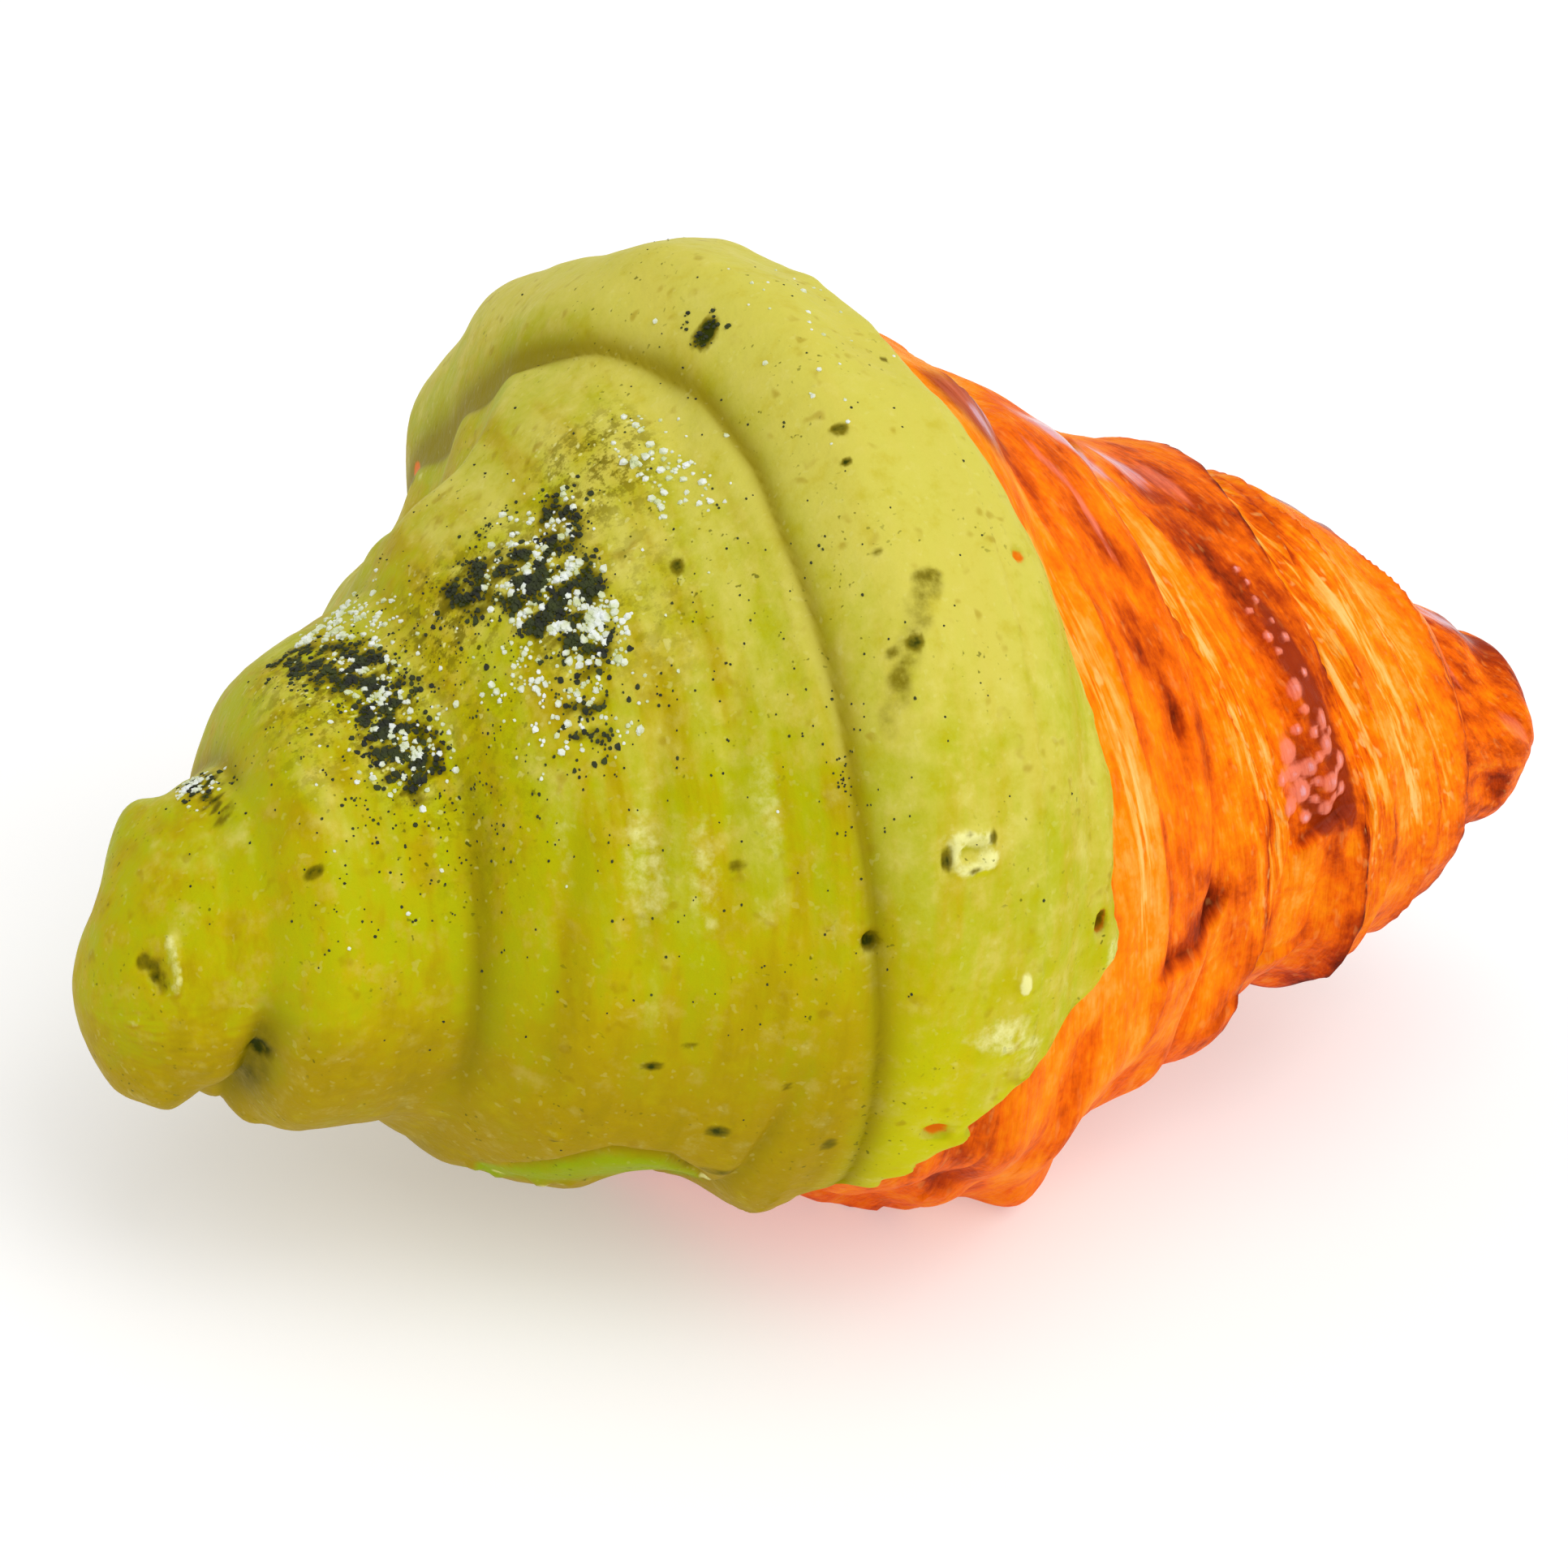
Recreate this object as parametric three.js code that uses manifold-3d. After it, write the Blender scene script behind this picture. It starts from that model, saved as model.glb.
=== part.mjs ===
// A croissant rolled from one triangle of layered dough, its left half dipped in green icing.
// Millimetres, +Z up. The roll lies along X, with the dipped tip at -X and the front at -Y.
// The origin is at the middle of the base.
import * as THREE from 'three';
import { ParametricGeometry } from 'three/addons/geometries/ParametricGeometry.js';
import { ImprovedNoise } from 'three/addons/math/ImprovedNoise.js';
import { mergeVertices } from 'three/addons/utils/BufferGeometryUtils.js';
import Module from 'manifold-3d';

const { clamp, degToRad, lerp, seededRandom, smoothstep } = THREE.MathUtils;

// The roll from tip to tip, and the curve of its middle line.
const HALF_LENGTH = 70.3;          // dipped tip, under its icing
const BARE_LENGTH = 72.2;          // bare tip
const MIDDLE_HEIGHT = 36.2;        // middle line above the base, at the fattest place
const TIP_DROP = { dipped: 10.9, bare: 8.2 };
const TIP_BOW = { dipped: -6.5, bare: -1.1 };
const SIDE_SHIFT = -1.6;           // brings the widest place over the origin
const HEIGHT_RATIO = 0.9;          // height of the section against its width
const SETTLED_CORNER = { middle: 0.2, tip: 0.09 };  // spread of the bare end's lower corners on the tray
const SETTLED_PLACES = { none: -14, middle: 3, tip: 24 };
const SETTLED_BELLY = 0.12;        // how far the bare end's underside sinks to the tray

// A band of dough is a rounded cone round the roll. Its open edge faces the tip on its own side.
// edge: place along the roll. lean: how far the edge swings to +X at the lower front.
// outer: radius behind the rounded lip. inner: radius at root, where it goes under the next band.
const LEAN_ANGLE = degToRad(-30);
const DIPPED_BANDS = [
  { edge: -HALF_LENGTH, lean: 0, outer: 10.5, inner: 13.0, root: -59.5, lip: 9.0 },
  { edge: -59.8, lean: -1.6, outer: 16.9, inner: 23.0, root: -40.6, lip: 6.2 },
  { edge: -48.2, lean: -0.8, outer: 23.2, inner: 41.2, root: -19.7, lip: 13.0 },
];
const BARE_BANDS = [
  { edge: 24.2, lean: 3.0, outer: 31.4, inner: 40.4, root: -0.5, lip: 7.0 },
  { edge: 42.9, lean: -0.1, outer: 24.2, inner: 30.8, root: 19.0, lip: 7.6 },
  { edge: 62.7, lean: 1.2, outer: 12.6, inner: 24.9, root: 42.2, lip: 8.0 },
  { edge: BARE_LENGTH, lean: 0, outer: 8.5, inner: 13.2, root: 53.3, lip: 5.6 },
];
const DIPPED_BANDS_END = -2.5;
const BARE_BANDS_START = -6.5;

// The last wrap of dough goes round the middle as a broad tongue that overhangs its neighbours.
const TONGUE = {
  left: -23.8, leftLean: 5.0, right: 11.8, rightLean: -4.3,
  crown: 48.0, foot: 28.5, fall: 2.8,
  lipFront: 16, lipBack: 13, rightLip: 8.9,
  lift: 2.6, liftAngle: degToRad(108),
};
const TONGUE_WALL = 3.0;           // the steep start of the tongue's left shoulder
const TONGUE_WALL_SHARE = 0.25;

// Thin layers of dough show as low ridges along the bare bands.
const LAYER_PITCH = 4.6;
const LAYER_DEPTH = 0.7;
const LAYER_WANDER = 6.0;
const LAYER_FADE = { start: 1.5, full: 6.0 };

// Icing: a coat with filled creases, a rounded rim, and a lower edge clear of the table.
const ICING_GAP = 0.35;
const ICING_THICKNESS = 1.55;
const CREASE_FILL = 1.1;
const RIM_ROUNDING = 3.0;
const RIM_HEIGHT_SHARE = 0.5;
const RIM_SINK = 3.5;
const ICING_CLEARANCE = 2.4;
const STRAIGHT_ROWS_END = -30;     // rows of facets run square to the roll up to here, then fan to the rim
// The rim's place along the roll, by angle round it: 0 is the front, 90 the top.
const RIM_POINTS = [
  [-90, -25], [-40, -16.5], [-16, 0.5], [15, 7], [50, 6], [86, -3], [130, -9], [180, -11], [230, -18],
];

// The largest sugar grains of the powder, in patches: place, angle, spread of each, and count.
const GRAIN_RADIUS = { least: 0.55, most: 0.8 };
const GRAIN_SINK = 0.35;
const GRAIN_SEED = 41;
const GRAIN_PATCHES = [
  { at: -46.5, angle: 82, along: 3.0, round: 30, count: 14 },
  { at: -35.5, angle: 64, along: 3.5, round: 18, count: 15 },
  { at: -60.0, angle: 96, along: 1.5, round: 12, count: 3 },
  { at: -24.0, angle: 78, along: 3.0, round: 14, count: 4 },
];

// Facets
const COLUMNS = 44;
const ROW_SPACING = { dipped: 3.4, bare: 1.65, icing: 2.5 };
const CREASE_ROW = 0.7;

const layerNoise = new ImprovedNoise();

function roundedEdge(t) {
  const short = 1 - clamp(t, 0, 1);
  return Math.sqrt(1 - short * short);
}

function swingAt(angle) {
  return Math.cos(angle - LEAN_ANGLE);
}

// Radius of one band at a place along the roll. side is -1 for a dipped band and 1 for a bare one.
function bandRadius(band, x, swing, side, grow) {
  const edge = band.edge + band.lean * swing + side * grow;
  const behind = (edge - x) * side;
  const taper = clamp(behind / ((edge - band.root) * side), 0, 1);
  return (lerp(band.outer, band.inner, taper) + grow) * roundedEdge(behind / (band.lip + grow));
}

function tongueRadius(x, angle, swing, grow) {
  const left = TONGUE.left + TONGUE.leftLean * swing - grow;
  const right = TONGUE.right + TONGUE.rightLean * swing;
  const across = clamp((x - left) / (right - left), 0, 1);
  const lip = lerp(TONGUE.lipBack, TONGUE.lipFront, 0.5 + 0.5 * swing);
  const lift = TONGUE.lift * Math.cos(angle - TONGUE.liftAngle);
  const crown = lerp(TONGUE.crown, TONGUE.foot, across ** TONGUE.fall) + lift + grow;
  const shoulder = lerp(TONGUE_WALL_SHARE, 1, roundedEdge((x - left) / lip));
  const wall = roundedEdge((x - left) / TONGUE_WALL);
  return crown * shoulder * wall * roundedEdge((right - x) / TONGUE.rightLip);
}

function bandRadii(x, angle, grow) {
  const swing = swingAt(angle);
  const radii = [tongueRadius(x, angle, swing, grow)];
  if (x < DIPPED_BANDS_END) {
    radii.push(...DIPPED_BANDS.map((band) => bandRadius(band, x, swing, -1, grow)));
  }
  if (x > BARE_BANDS_START) {
    radii.push(...BARE_BANDS.map((band) => bandRadius(band, x, swing, 1, grow)));
  }
  return radii;
}

// The outermost band shows. A soft maximum also fills the creases between bands.
function rollRadius(x, angle, grow, fill) {
  const radii = bandRadii(x, angle, grow);
  const most = Math.max(...radii);
  if (fill === 0) {
    return most;
  }
  const sum = radii.reduce((total, radius) => total + Math.exp((radius - most) / fill), 0);
  return most + fill * Math.log(sum) * clamp(most / TONGUE.foot, 0, 1);
}

// A point at a place, angle and radius, on the bowed middle line and flattened on the tray.
function placePoint(x, angle, radius, floor, target) {
  const along = clamp(x / BARE_LENGTH, -1, 1);
  const end = along < 0 ? 'dipped' : 'bare';
  const across = Math.cos(angle);
  const rise = Math.sin(angle);
  const low = clamp(-rise, 0, 1);
  const corner = 2 * Math.abs(across) * low;
  const settled = smoothstep(x, SETTLED_PLACES.none, SETTLED_PLACES.middle);
  const towardsTip = smoothstep(x, SETTLED_PLACES.middle, SETTLED_PLACES.tip);
  const cornerSpread = settled * lerp(SETTLED_CORNER.middle, SETTLED_CORNER.tip, towardsTip);
  const spread = radius * (1 + cornerSpread * corner * corner);
  const sunk = 1 + settled * SETTLED_BELLY * low * low;
  const y = SIDE_SHIFT + TIP_BOW[end] * along * along - spread * across;
  const z = MIDDLE_HEIGHT - TIP_DROP[end] * along * along + spread * HEIGHT_RATIO * rise * sunk;
  return target.set(x, y, Math.max(z, floor));
}

// Rows of points follow the leaning edges, so that a crease runs along a row.
const EDGE_LEANS = [
  ...DIPPED_BANDS.map((band) => [band.edge, band.lean]),
  [TONGUE.left, TONGUE.leftLean],
  ...BARE_BANDS.map((band) => [band.edge, band.lean]),
];

function leanAt(station) {
  const after = EDGE_LEANS.findIndex(([edge]) => edge >= station);
  if (after <= 0) {
    return 0;
  }
  const [edgeBefore, leanBefore] = EDGE_LEANS[after - 1];
  const [edgeAfter, leanAfter] = EDGE_LEANS[after];
  return lerp(leanBefore, leanAfter, (station - edgeBefore) / (edgeAfter - edgeBefore));
}

// Even rows, with closer ones where one band takes over from the next at the upper front.
function stationsFrom(start, end, spacingAt) {
  const stations = [start];
  const ahead = (x) => {
    const radii = bandRadii(x, degToRad(45), 0);
    return radii.indexOf(Math.max(...radii)) + (x < DIPPED_BANDS_END ? 0 : radii.length);
  };
  while (stations.at(-1) < end) {
    const last = stations.at(-1);
    const even = last + spacingAt(last);
    const crosses = ahead(last) !== ahead(even) && spacingAt(last) > CREASE_ROW;
    stations.push(crosses ? last + CREASE_ROW : even);
  }
  stations[stations.length - 1] = end;
  return stations;
}

function stationAt(stations, share) {
  const place = share * (stations.length - 1);
  const row = Math.min(Math.floor(place), stations.length - 2);
  return lerp(stations[row], stations[row + 1], place - row);
}

// The closed rim curve, as place by angle.
const rimCurve = new THREE.CatmullRomCurve3(
  RIM_POINTS.map(([angle, x]) => new THREE.Vector3(x, Math.cos(degToRad(angle)), Math.sin(degToRad(angle)))),
  true,
);
const rimSamples = rimCurve.getPoints(360);

function rimAt(angle) {
  const facing = (point) => Math.cos(Math.atan2(point.z, point.y) - angle);
  return rimSamples.reduce((best, point) => (facing(point) > facing(best) ? point : best)).x;
}

const RIM_BY_COLUMN = Array.from({ length: COLUMNS + 1 }, (_, column) => rimAt(angleAt(column / COLUMNS)));

function angleAt(u) {
  return -u * 2 * Math.PI;
}

function rimAtColumn(u) {
  return RIM_BY_COLUMN[clamp(Math.round(u * COLUMNS), 0, COLUMNS)];
}

// Grooves between the layers, on the bare crust alone.
function layerGroove(station, angle, rim) {
  const bare = smoothstep(station, rim + LAYER_FADE.start, rim + LAYER_FADE.full);
  const wander = LAYER_WANDER * layerNoise.noise(Math.cos(angle), Math.sin(angle), station / HALF_LENGTH);
  const wave = Math.sin((Math.PI * (station + wander)) / LAYER_PITCH);
  return LAYER_DEPTH * wave * wave * bare;
}

// Merged vertices without normals, and without the flat triangles at the tips.
function closedGeometry(geometry) {
  const points = geometry.clone();
  points.deleteAttribute('normal');
  points.deleteAttribute('uv');
  const merged = mergeVertices(points, 1e-4);
  const corners = merged.index.array;
  const kept = [];
  for (let i = 0; i < corners.length; i += 3) {
    const [a, b, c] = corners.slice(i, i + 3);
    if (a !== b && b !== c && c !== a) {
      kept.push(a, b, c);
    }
  }
  merged.setIndex(kept);
  return merged;
}

// The whole roll, from tip to tip, grown evenly by a distance.
function rollGeometry(grow) {
  const spacing = (x) => (x < 0 ? ROW_SPACING.dipped : ROW_SPACING.bare);
  const stations = stationsFrom(-HALF_LENGTH, BARE_LENGTH, spacing);
  stations[0] -= grow;
  stations[stations.length - 1] += grow;
  const surface = (u, v, target) => {
    const angle = angleAt(u);
    const station = stationAt(stations, v);
    const x = station + leanAt(station) * swingAt(angle);
    const atTip = v === 0 || v === 1;
    const groove = layerGroove(station, angle, rimAtColumn(u));
    const radius = atTip ? 0 : rollRadius(x, angle, grow, 0) - groove;
    placePoint(x, angle, radius, -grow, target);
  };
  return closedGeometry(new ParametricGeometry(surface, COLUMNS, stations.length - 1));
}

// How far the icing's face stands off the dough at a place, thinner towards the rim.
function icingOffset(station, rim) {
  const rounding = roundedEdge((rim - station) / RIM_ROUNDING);
  return ICING_GAP + ICING_THICKNESS * lerp(RIM_HEIGHT_SHARE, 1, rounding);
}

function icingPoint(station, angle, rim, sink, target) {
  const x = station + leanAt(station) * swingAt(angle);
  const offset = icingOffset(station, rim);
  const radius = Math.max(rollRadius(x, angle, offset, CREASE_FILL) - sink, 0);
  return placePoint(x, angle, radius, -offset, target);
}

// The icing's outer face runs from the tip to the rim, drops under the crust and closes on the axis.
function icingFace() {
  const tip = -HALF_LENGTH - ICING_GAP - ICING_THICKNESS;
  const straightRows = Math.round((STRAIGHT_ROWS_END - tip) / ROW_SPACING.icing);
  const fanRows = Math.round((Math.max(...RIM_BY_COLUMN) - STRAIGHT_ROWS_END) / ROW_SPACING.icing);
  const faceRows = straightRows + fanRows;
  const rows = faceRows + 2;
  const surface = (u, v, target) => {
    const angle = angleAt(u);
    const row = Math.round(v * rows);
    const rim = rimAtColumn(u);
    if (row === rows) {
      placePoint(0, angle, 0, 0, target);
    } else if (row === 0) {
      placePoint(tip, angle, 0, 0, target);
    } else {
      const fanned = clamp((row - straightRows) / fanRows, 0, 1);
      const straight = lerp(tip, STRAIGHT_ROWS_END, Math.min(row / straightRows, 1));
      const station = straight + fanned * (rim - STRAIGHT_ROWS_END);
      icingPoint(station, angle, rim, row > faceRows ? RIM_SINK : 0, target);
    }
  };
  return closedGeometry(new ParametricGeometry(surface, COLUMNS, rows));
}

function grainGeometries() {
  seededRandom(GRAIN_SEED);
  const either = () => 2 * seededRandom() - 1;
  return GRAIN_PATCHES.flatMap((patch) => Array.from({ length: patch.count }, () => {
    const angle = degToRad(patch.angle + patch.round * either());
    const station = patch.at + patch.along * either();
    const size = lerp(GRAIN_RADIUS.least, GRAIN_RADIUS.most, seededRandom());
    const grain = closedGeometry(new THREE.IcosahedronGeometry(size, 0));
    const place = icingPoint(station, angle, rimAt(angle), GRAIN_SINK, new THREE.Vector3());
    grain.rotateX(Math.PI * either());
    grain.rotateZ(Math.PI * either());
    return grain.translate(place.x, place.y, place.z);
  }));
}

const wasm = await Module();
wasm.setup();

function toSolid(geometry) {
  return new wasm.Manifold(new wasm.Mesh({
    numProp: 3,
    vertProperties: new Float32Array(geometry.attributes.position.array),
    triVerts: new Uint32Array(geometry.index.array),
  }));
}

function toGeometry(solid) {
  const mesh = solid.getMesh();
  const geometry = new THREE.BufferGeometry();
  geometry.setAttribute('position', new THREE.BufferAttribute(new Float32Array(mesh.vertProperties), 3));
  geometry.setIndex(Array.from(mesh.triVerts));
  return geometry;
}

function tableGeometry() {
  const side = 4 * BARE_LENGTH;
  const table = closedGeometry(new THREE.BoxGeometry(side, side, side));
  return table.translate(0, 0, ICING_CLEARANCE - side / 2);
}

function icingGeometry() {
  const grains = grainGeometries().map(toSolid);
  const face = grains.reduce((whole, grain) => whole.add(grain), toSolid(icingFace()));
  const coat = face.subtract(toSolid(rollGeometry(ICING_GAP))).subtract(toSolid(tableGeometry()));
  return toGeometry(coat);
}

function namedMesh(name, geometry, color, roughness) {
  const mesh = new THREE.Mesh(geometry, new THREE.MeshStandardMaterial({ color, roughness, metalness: 0 }));
  mesh.name = name;
  geometry.computeVertexNormals();
  return mesh;
}

const croissant = new THREE.Group();
croissant.name = 'croissant';
croissant.add(namedMesh('pastry', rollGeometry(0), 0xe8821c, 0.45));
croissant.add(namedMesh('icing', icingGeometry(), 0xbdb83a, 0.5));

export default croissant;
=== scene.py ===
import math
from collections import namedtuple

import bmesh
import bpy
import numpy as np
from bpy.props import FloatProperty, FloatVectorProperty, PointerProperty
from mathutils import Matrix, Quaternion, Vector, noise


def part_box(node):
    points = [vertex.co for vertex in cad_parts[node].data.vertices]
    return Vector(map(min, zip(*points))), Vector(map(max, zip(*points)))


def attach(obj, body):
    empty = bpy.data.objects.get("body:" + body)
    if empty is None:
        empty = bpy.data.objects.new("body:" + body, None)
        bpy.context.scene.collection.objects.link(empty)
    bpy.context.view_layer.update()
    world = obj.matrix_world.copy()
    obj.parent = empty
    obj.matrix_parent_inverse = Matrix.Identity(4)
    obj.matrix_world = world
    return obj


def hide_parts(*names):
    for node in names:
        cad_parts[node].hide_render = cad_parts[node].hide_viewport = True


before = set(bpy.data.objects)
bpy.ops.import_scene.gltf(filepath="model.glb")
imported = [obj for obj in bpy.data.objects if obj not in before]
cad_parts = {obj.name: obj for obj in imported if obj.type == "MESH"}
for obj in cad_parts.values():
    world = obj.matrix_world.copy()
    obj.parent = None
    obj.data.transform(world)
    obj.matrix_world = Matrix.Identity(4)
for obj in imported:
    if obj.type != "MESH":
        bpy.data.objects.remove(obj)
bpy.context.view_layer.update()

bl_info = {
    "name": "Iced Croissant",
    "version": (1, 0, 0),
    "blender": (4, 5, 0),
    "location": "View3D > Sidebar > Croissant",
    "description": "A flaky croissant, its left half dipped in green icing and dusted with powder",
    "category": "Add Mesh",
}

# The roll is worked out in millimetres, in the frame's own axes. x runs along the roll to the bare tip,
# and an angle runs round it: 0 at the front, 90 degrees on top.
MM = 0.001
PASTRY_LOW, PASTRY_HIGH = (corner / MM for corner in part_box("pastry"))
ICING_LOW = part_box("icing")[0] / MM
DIPPED_TIP = PASTRY_LOW.x
BARE_TIP = PASTRY_HIGH.x
ICED_TIP = ICING_LOW.x

Ends = namedtuple("Ends", "dipped bare")
# A range with soft ends: rise and fall are the widths over which its start and its end fade.
Window = namedtuple("Window", "low high rise fall")
MIDDLE_HEIGHT = 36.2
TIP_DROP = Ends(10.9, 8.2)
TIP_BOW = Ends(-6.5, -1.1)
SIDE_SHIFT = -1.6
HEIGHT_RATIO = 0.9

# The bare end's underside, settled on the tray: the spread of its corners and the sinking of its belly.
CORNER_AT_MIDDLE = 0.2
CORNER_AT_TIP = 0.09
BELLY = 0.12
SETTLED_FROM = -14.0
SETTLED_MIDDLE = 3.0
SETTLED_TIP = 24.0

# Bands of dough are rounded cones round the roll, each with an open edge that faces its own tip.
# lean is how far the edge swings to +X at the lower front.
Band = namedtuple("Band", "edge lean outer inner root lip")
LEAN_ANGLE = math.radians(-30)
DIPPED_BANDS = (
    Band(DIPPED_TIP, 0.0, 10.5, 13.0, -59.5, 9.0),
    Band(-59.8, -1.6, 16.9, 23.0, -40.6, 6.2),
    Band(-48.2, -0.8, 23.2, 41.2, -19.7, 13.0),
)
BARE_BANDS = (
    Band(24.2, 3.0, 31.4, 40.4, -0.5, 7.0),
    Band(42.9, -0.1, 24.2, 30.8, 19.0, 7.6),
    Band(62.7, 1.2, 12.6, 24.9, 42.2, 8.0),
    Band(BARE_TIP, 0.0, 8.5, 13.2, 53.3, 5.6),
)
DIPPED_BANDS_END = -2.5
BARE_BANDS_START = -6.5

# The last wrap of dough lies over the middle as a broad tongue.
TONGUE_LEFT = -23.8
TONGUE_LEFT_LEAN = 5.0
TONGUE_RIGHT = 11.8
TONGUE_RIGHT_LEAN = -4.3
TONGUE_CROWN = 48.0
TONGUE_FOOT = 28.5
TONGUE_FALL = 2.8
TONGUE_LIP_FRONT = 16.0
TONGUE_LIP_BACK = 13.0
TONGUE_RIGHT_LIP = 8.9
TONGUE_LIFT = 2.6
TONGUE_LIFT_ANGLE = math.radians(108)
TONGUE_WALL = 3.0
TONGUE_WALL_SHARE = 0.25
# How far its left edge wanders along the roll, by angle in degrees.
TONGUE_BEND = (
    (-90, 0.0), (-55, -1.2), (-25, -2.4), (5, -2.4), (25, -1.6), (42, 0.2), (58, 1.6), (68, 3.0), (80, 3.4),
    (90, 2.7), (102, 0.8), (114, 0.0),
)

# The icing's rim: its place along the roll, by angle in degrees.
RIM_PLACES = (
    (-90, -25.0), (-60, -21.5), (-37, -15.9), (-33, -12.6), (-24, -9.8), (-14, -5.6), (-10, -1.0),
    (-6, 5.0), (-3, 7.9), (1, 8.2), (4, 7.4), (8, 6.8), (12, 7.0), (23, 7.2), (37, 5.4), (49, 3.6),
    (61, 0.8), (71, -1.4), (80, -1.8), (95, -3.5), (130, -9.0), (180, -11.0), (230, -18.0),
)
RIM_SMOOTHING = (-1.5, 0.0, 1.5)
RIM_WAVE = 0.55
# Sizes of the rim's waves and teeth, along the roll and round it, and how strong the teeth are on top and
# underneath, where they start and are full at these angles in degrees.
RIM_LONG_WAVES = (1.0, 6.0)
RIM_SHORT_WAVES = (1.0, 2.5)
SHORT_WAVE_SHARE = 0.5
RIM_TEETH = (1.0, 1.1)
TEETH_ON_TOP = 0.3
TEETH_BELOW = 1.8
TEETH_START = 12
TEETH_FULL = -10
RIM_ROUNDING = 2.6
RIM_SHARE = 0.5
RIM_BULGE = 0.35
# How far a crease's line reaches, how far the shade painted along it reaches, and how deep that painted
# shade is.
CREASE_REACH = 1.2
SHADE_REACH = 2.7
SHADE_FRONT = 0.45
SHADE_TOP = 0.7
SHADE_TOP_ANGLES = Window(58, 165, 22, 25)
SHADE_IN_LINES = 0.4
# How far the icing fills a crease, and how deep a line is left in it, by place along the roll.
CREASE_PLACES = (-58, -51, -37, -29, -15.5, -11, -3)
CREASE_FILL = (1.6, 3.2, 3.2, 0.8, 0.8, 1.5, 5.0)
CREASE_LINE = (0.6, 0.3, 0.3, 1.2, 1.2, 0.0, 0.0)
# The dough fills the crease between the tongue and the first bare band.
DOUGH_PLACES = (-6, 1, 11, 18)
DOUGH_FILL = (0.3, 4.0, 4.0, 0.3)
# On the front the crease at the dipped tip is filled up, and the one beside the tongue is softer, inside
# these places along the roll and these angles in degrees.
TIP_FILL = 5.0
TIP_FILL_START = -51
TIP_FILL_FULL = -56
TIP_FILL_ANGLES = Window(-22, 92, 28, 22)
TONGUE_FILL = 2.8
TONGUE_LINE = 0.8
TONGUE_FILL_PLACES = Window(-31, -8, 4, 6)
TONGUE_FILL_ANGLES = Window(-45, 112, 20, 18)
# How far the coat's inner face and the crust under it are sunk. The crust's relief starts and is full this
# far beyond the rim, and its sinking this far behind it.
INNER_SINK = 0.9
CRUST_SINK = 1.2
RELIEF_START = -0.5
RELIEF_FULL = 1.5
SINK_START = 1.5
SINK_FULL = 5.0
STRAIGHT_ROWS_END = -30.0
# Low waves on the icing: the height of each, and its size along the roll and round it.
ICING_WAVES = ((0.3, (12.0, 16.0)), (0.12, (3.0, 5.0)), (0.05, (1.2, 1.5)))

# Thin layers of dough cross the bare bands on a slant.
LAYER_SLANT = 9.0
LAYER_TURN = math.radians(40)

# A spot has its place along the roll, its angle in degrees, its half widths along and round the roll in
# millimetres, and an amount.
Spot = namedtuple("Spot", "at angle along around amount")
Valley = namedtuple("Valley", "places width depth")
Sheet = namedtuple("Sheet", "places rise reach brown")
Plate = namedtuple("Plate", "places rise reach recess dark")
Patch = namedtuple("Patch", "at angle along around count largest")
SPOT_SOFTNESS = 0.75
VALLEY_FADE = 0.25


def rows_of(kind, rows):
    """Rows of numbers as named tuples of one kind."""
    return tuple(kind(*row) for row in rows)


# Broad swellings and dents of this roll, as heights in millimetres.
ROLL_SPOTS = rows_of(Spot, (
    (-60.0, 131, 5.0, 9.0, -1.1), (-65.5, 139, 4.0, 8.0, 0.9), (-70.0, 152, 6.0, 9.0, -2.2),
    (-71.0, -95, 5.0, 8.0, 1.2), (-67.5, -68, 6.0, 9.0, 1.5), (-62.0, -56, 5.0, 7.0, -0.7),
    (-43.2, -70, 5.0, 12.0, 1.3), (-24.5, -60, 9.0, 18.0, -3.8), (-27.5, -43, 7.0, 10.0, -1.2),
    (-1.0, -48, 11.0, 16.0, -3.5), (-6.0, -64, 6.0, 8.0, 1.0), (13.5, -40, 8.0, 11.0, -2.2),
    (26.0, -43, 7.0, 10.0, 2.0), (40.5, -60, 6.0, 9.0, -1.1), (70.0, 55, 6.0, 14.0, 1.7),
    (55.5, 73, 5.0, 9.0, 0.7), (41.7, 112, 4.0, 8.0, -0.8), (34.4, 107, 5.0, 10.0, 1.0),
    (13.5, 102, 6.0, 10.0, 0.6), (-3.0, 82, 8.0, 12.0, -1.6), (5.0, 97, 9.0, 16.0, -2.6),
    (-17.5, 120, 9.0, 18.0, -1.9), (-25.0, 153, 6.0, 12.0, 2.2), (-33.0, 121, 7.5, 10.0, -4.4),
    (-38.5, 142, 8.0, 12.0, -2.3), (-41.5, 124, 7.0, 10.0, -1.1), (-27.0, 98, 8.0, 24.0, 2.4),
    (-4.5, 97, 7.0, 12.0, -1.2), (-8.3, -61, 6.0, 9.0, -1.6), (10.0, -54, 5.0, 7.0, 1.2),
    (-59.5, -78, 4.0, 7.0, 1.6), (-34.0, 155, 5.0, 9.0, -1.0), (-23.8, 148, 5.0, 9.0, -0.8),
    (38.0, -42, 6.0, 8.0, -1.3), (30.5, -38, 5.0, 7.0, -0.9), (61.5, 84, 5.5, 9.0, 1.7),
    (15.0, 99, 7.0, 12.0, -0.7), (35.0, 106, 5.0, 9.0, -0.7), (50.5, 95, 5.0, 10.0, -0.6),
    (-24.4, 157, 4.0, 8.0, 0.9), (-36.5, 139, 5.0, 8.0, -0.9), (-69.5, 155, 5.0, 8.0, -0.5),
    (57.5, -40, 5.0, 7.0, -0.6), (-32.5, 141, 7.0, 12.0, -4.6), (-25.0, 166, 5.0, 12.0, 1.5),
))
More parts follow.
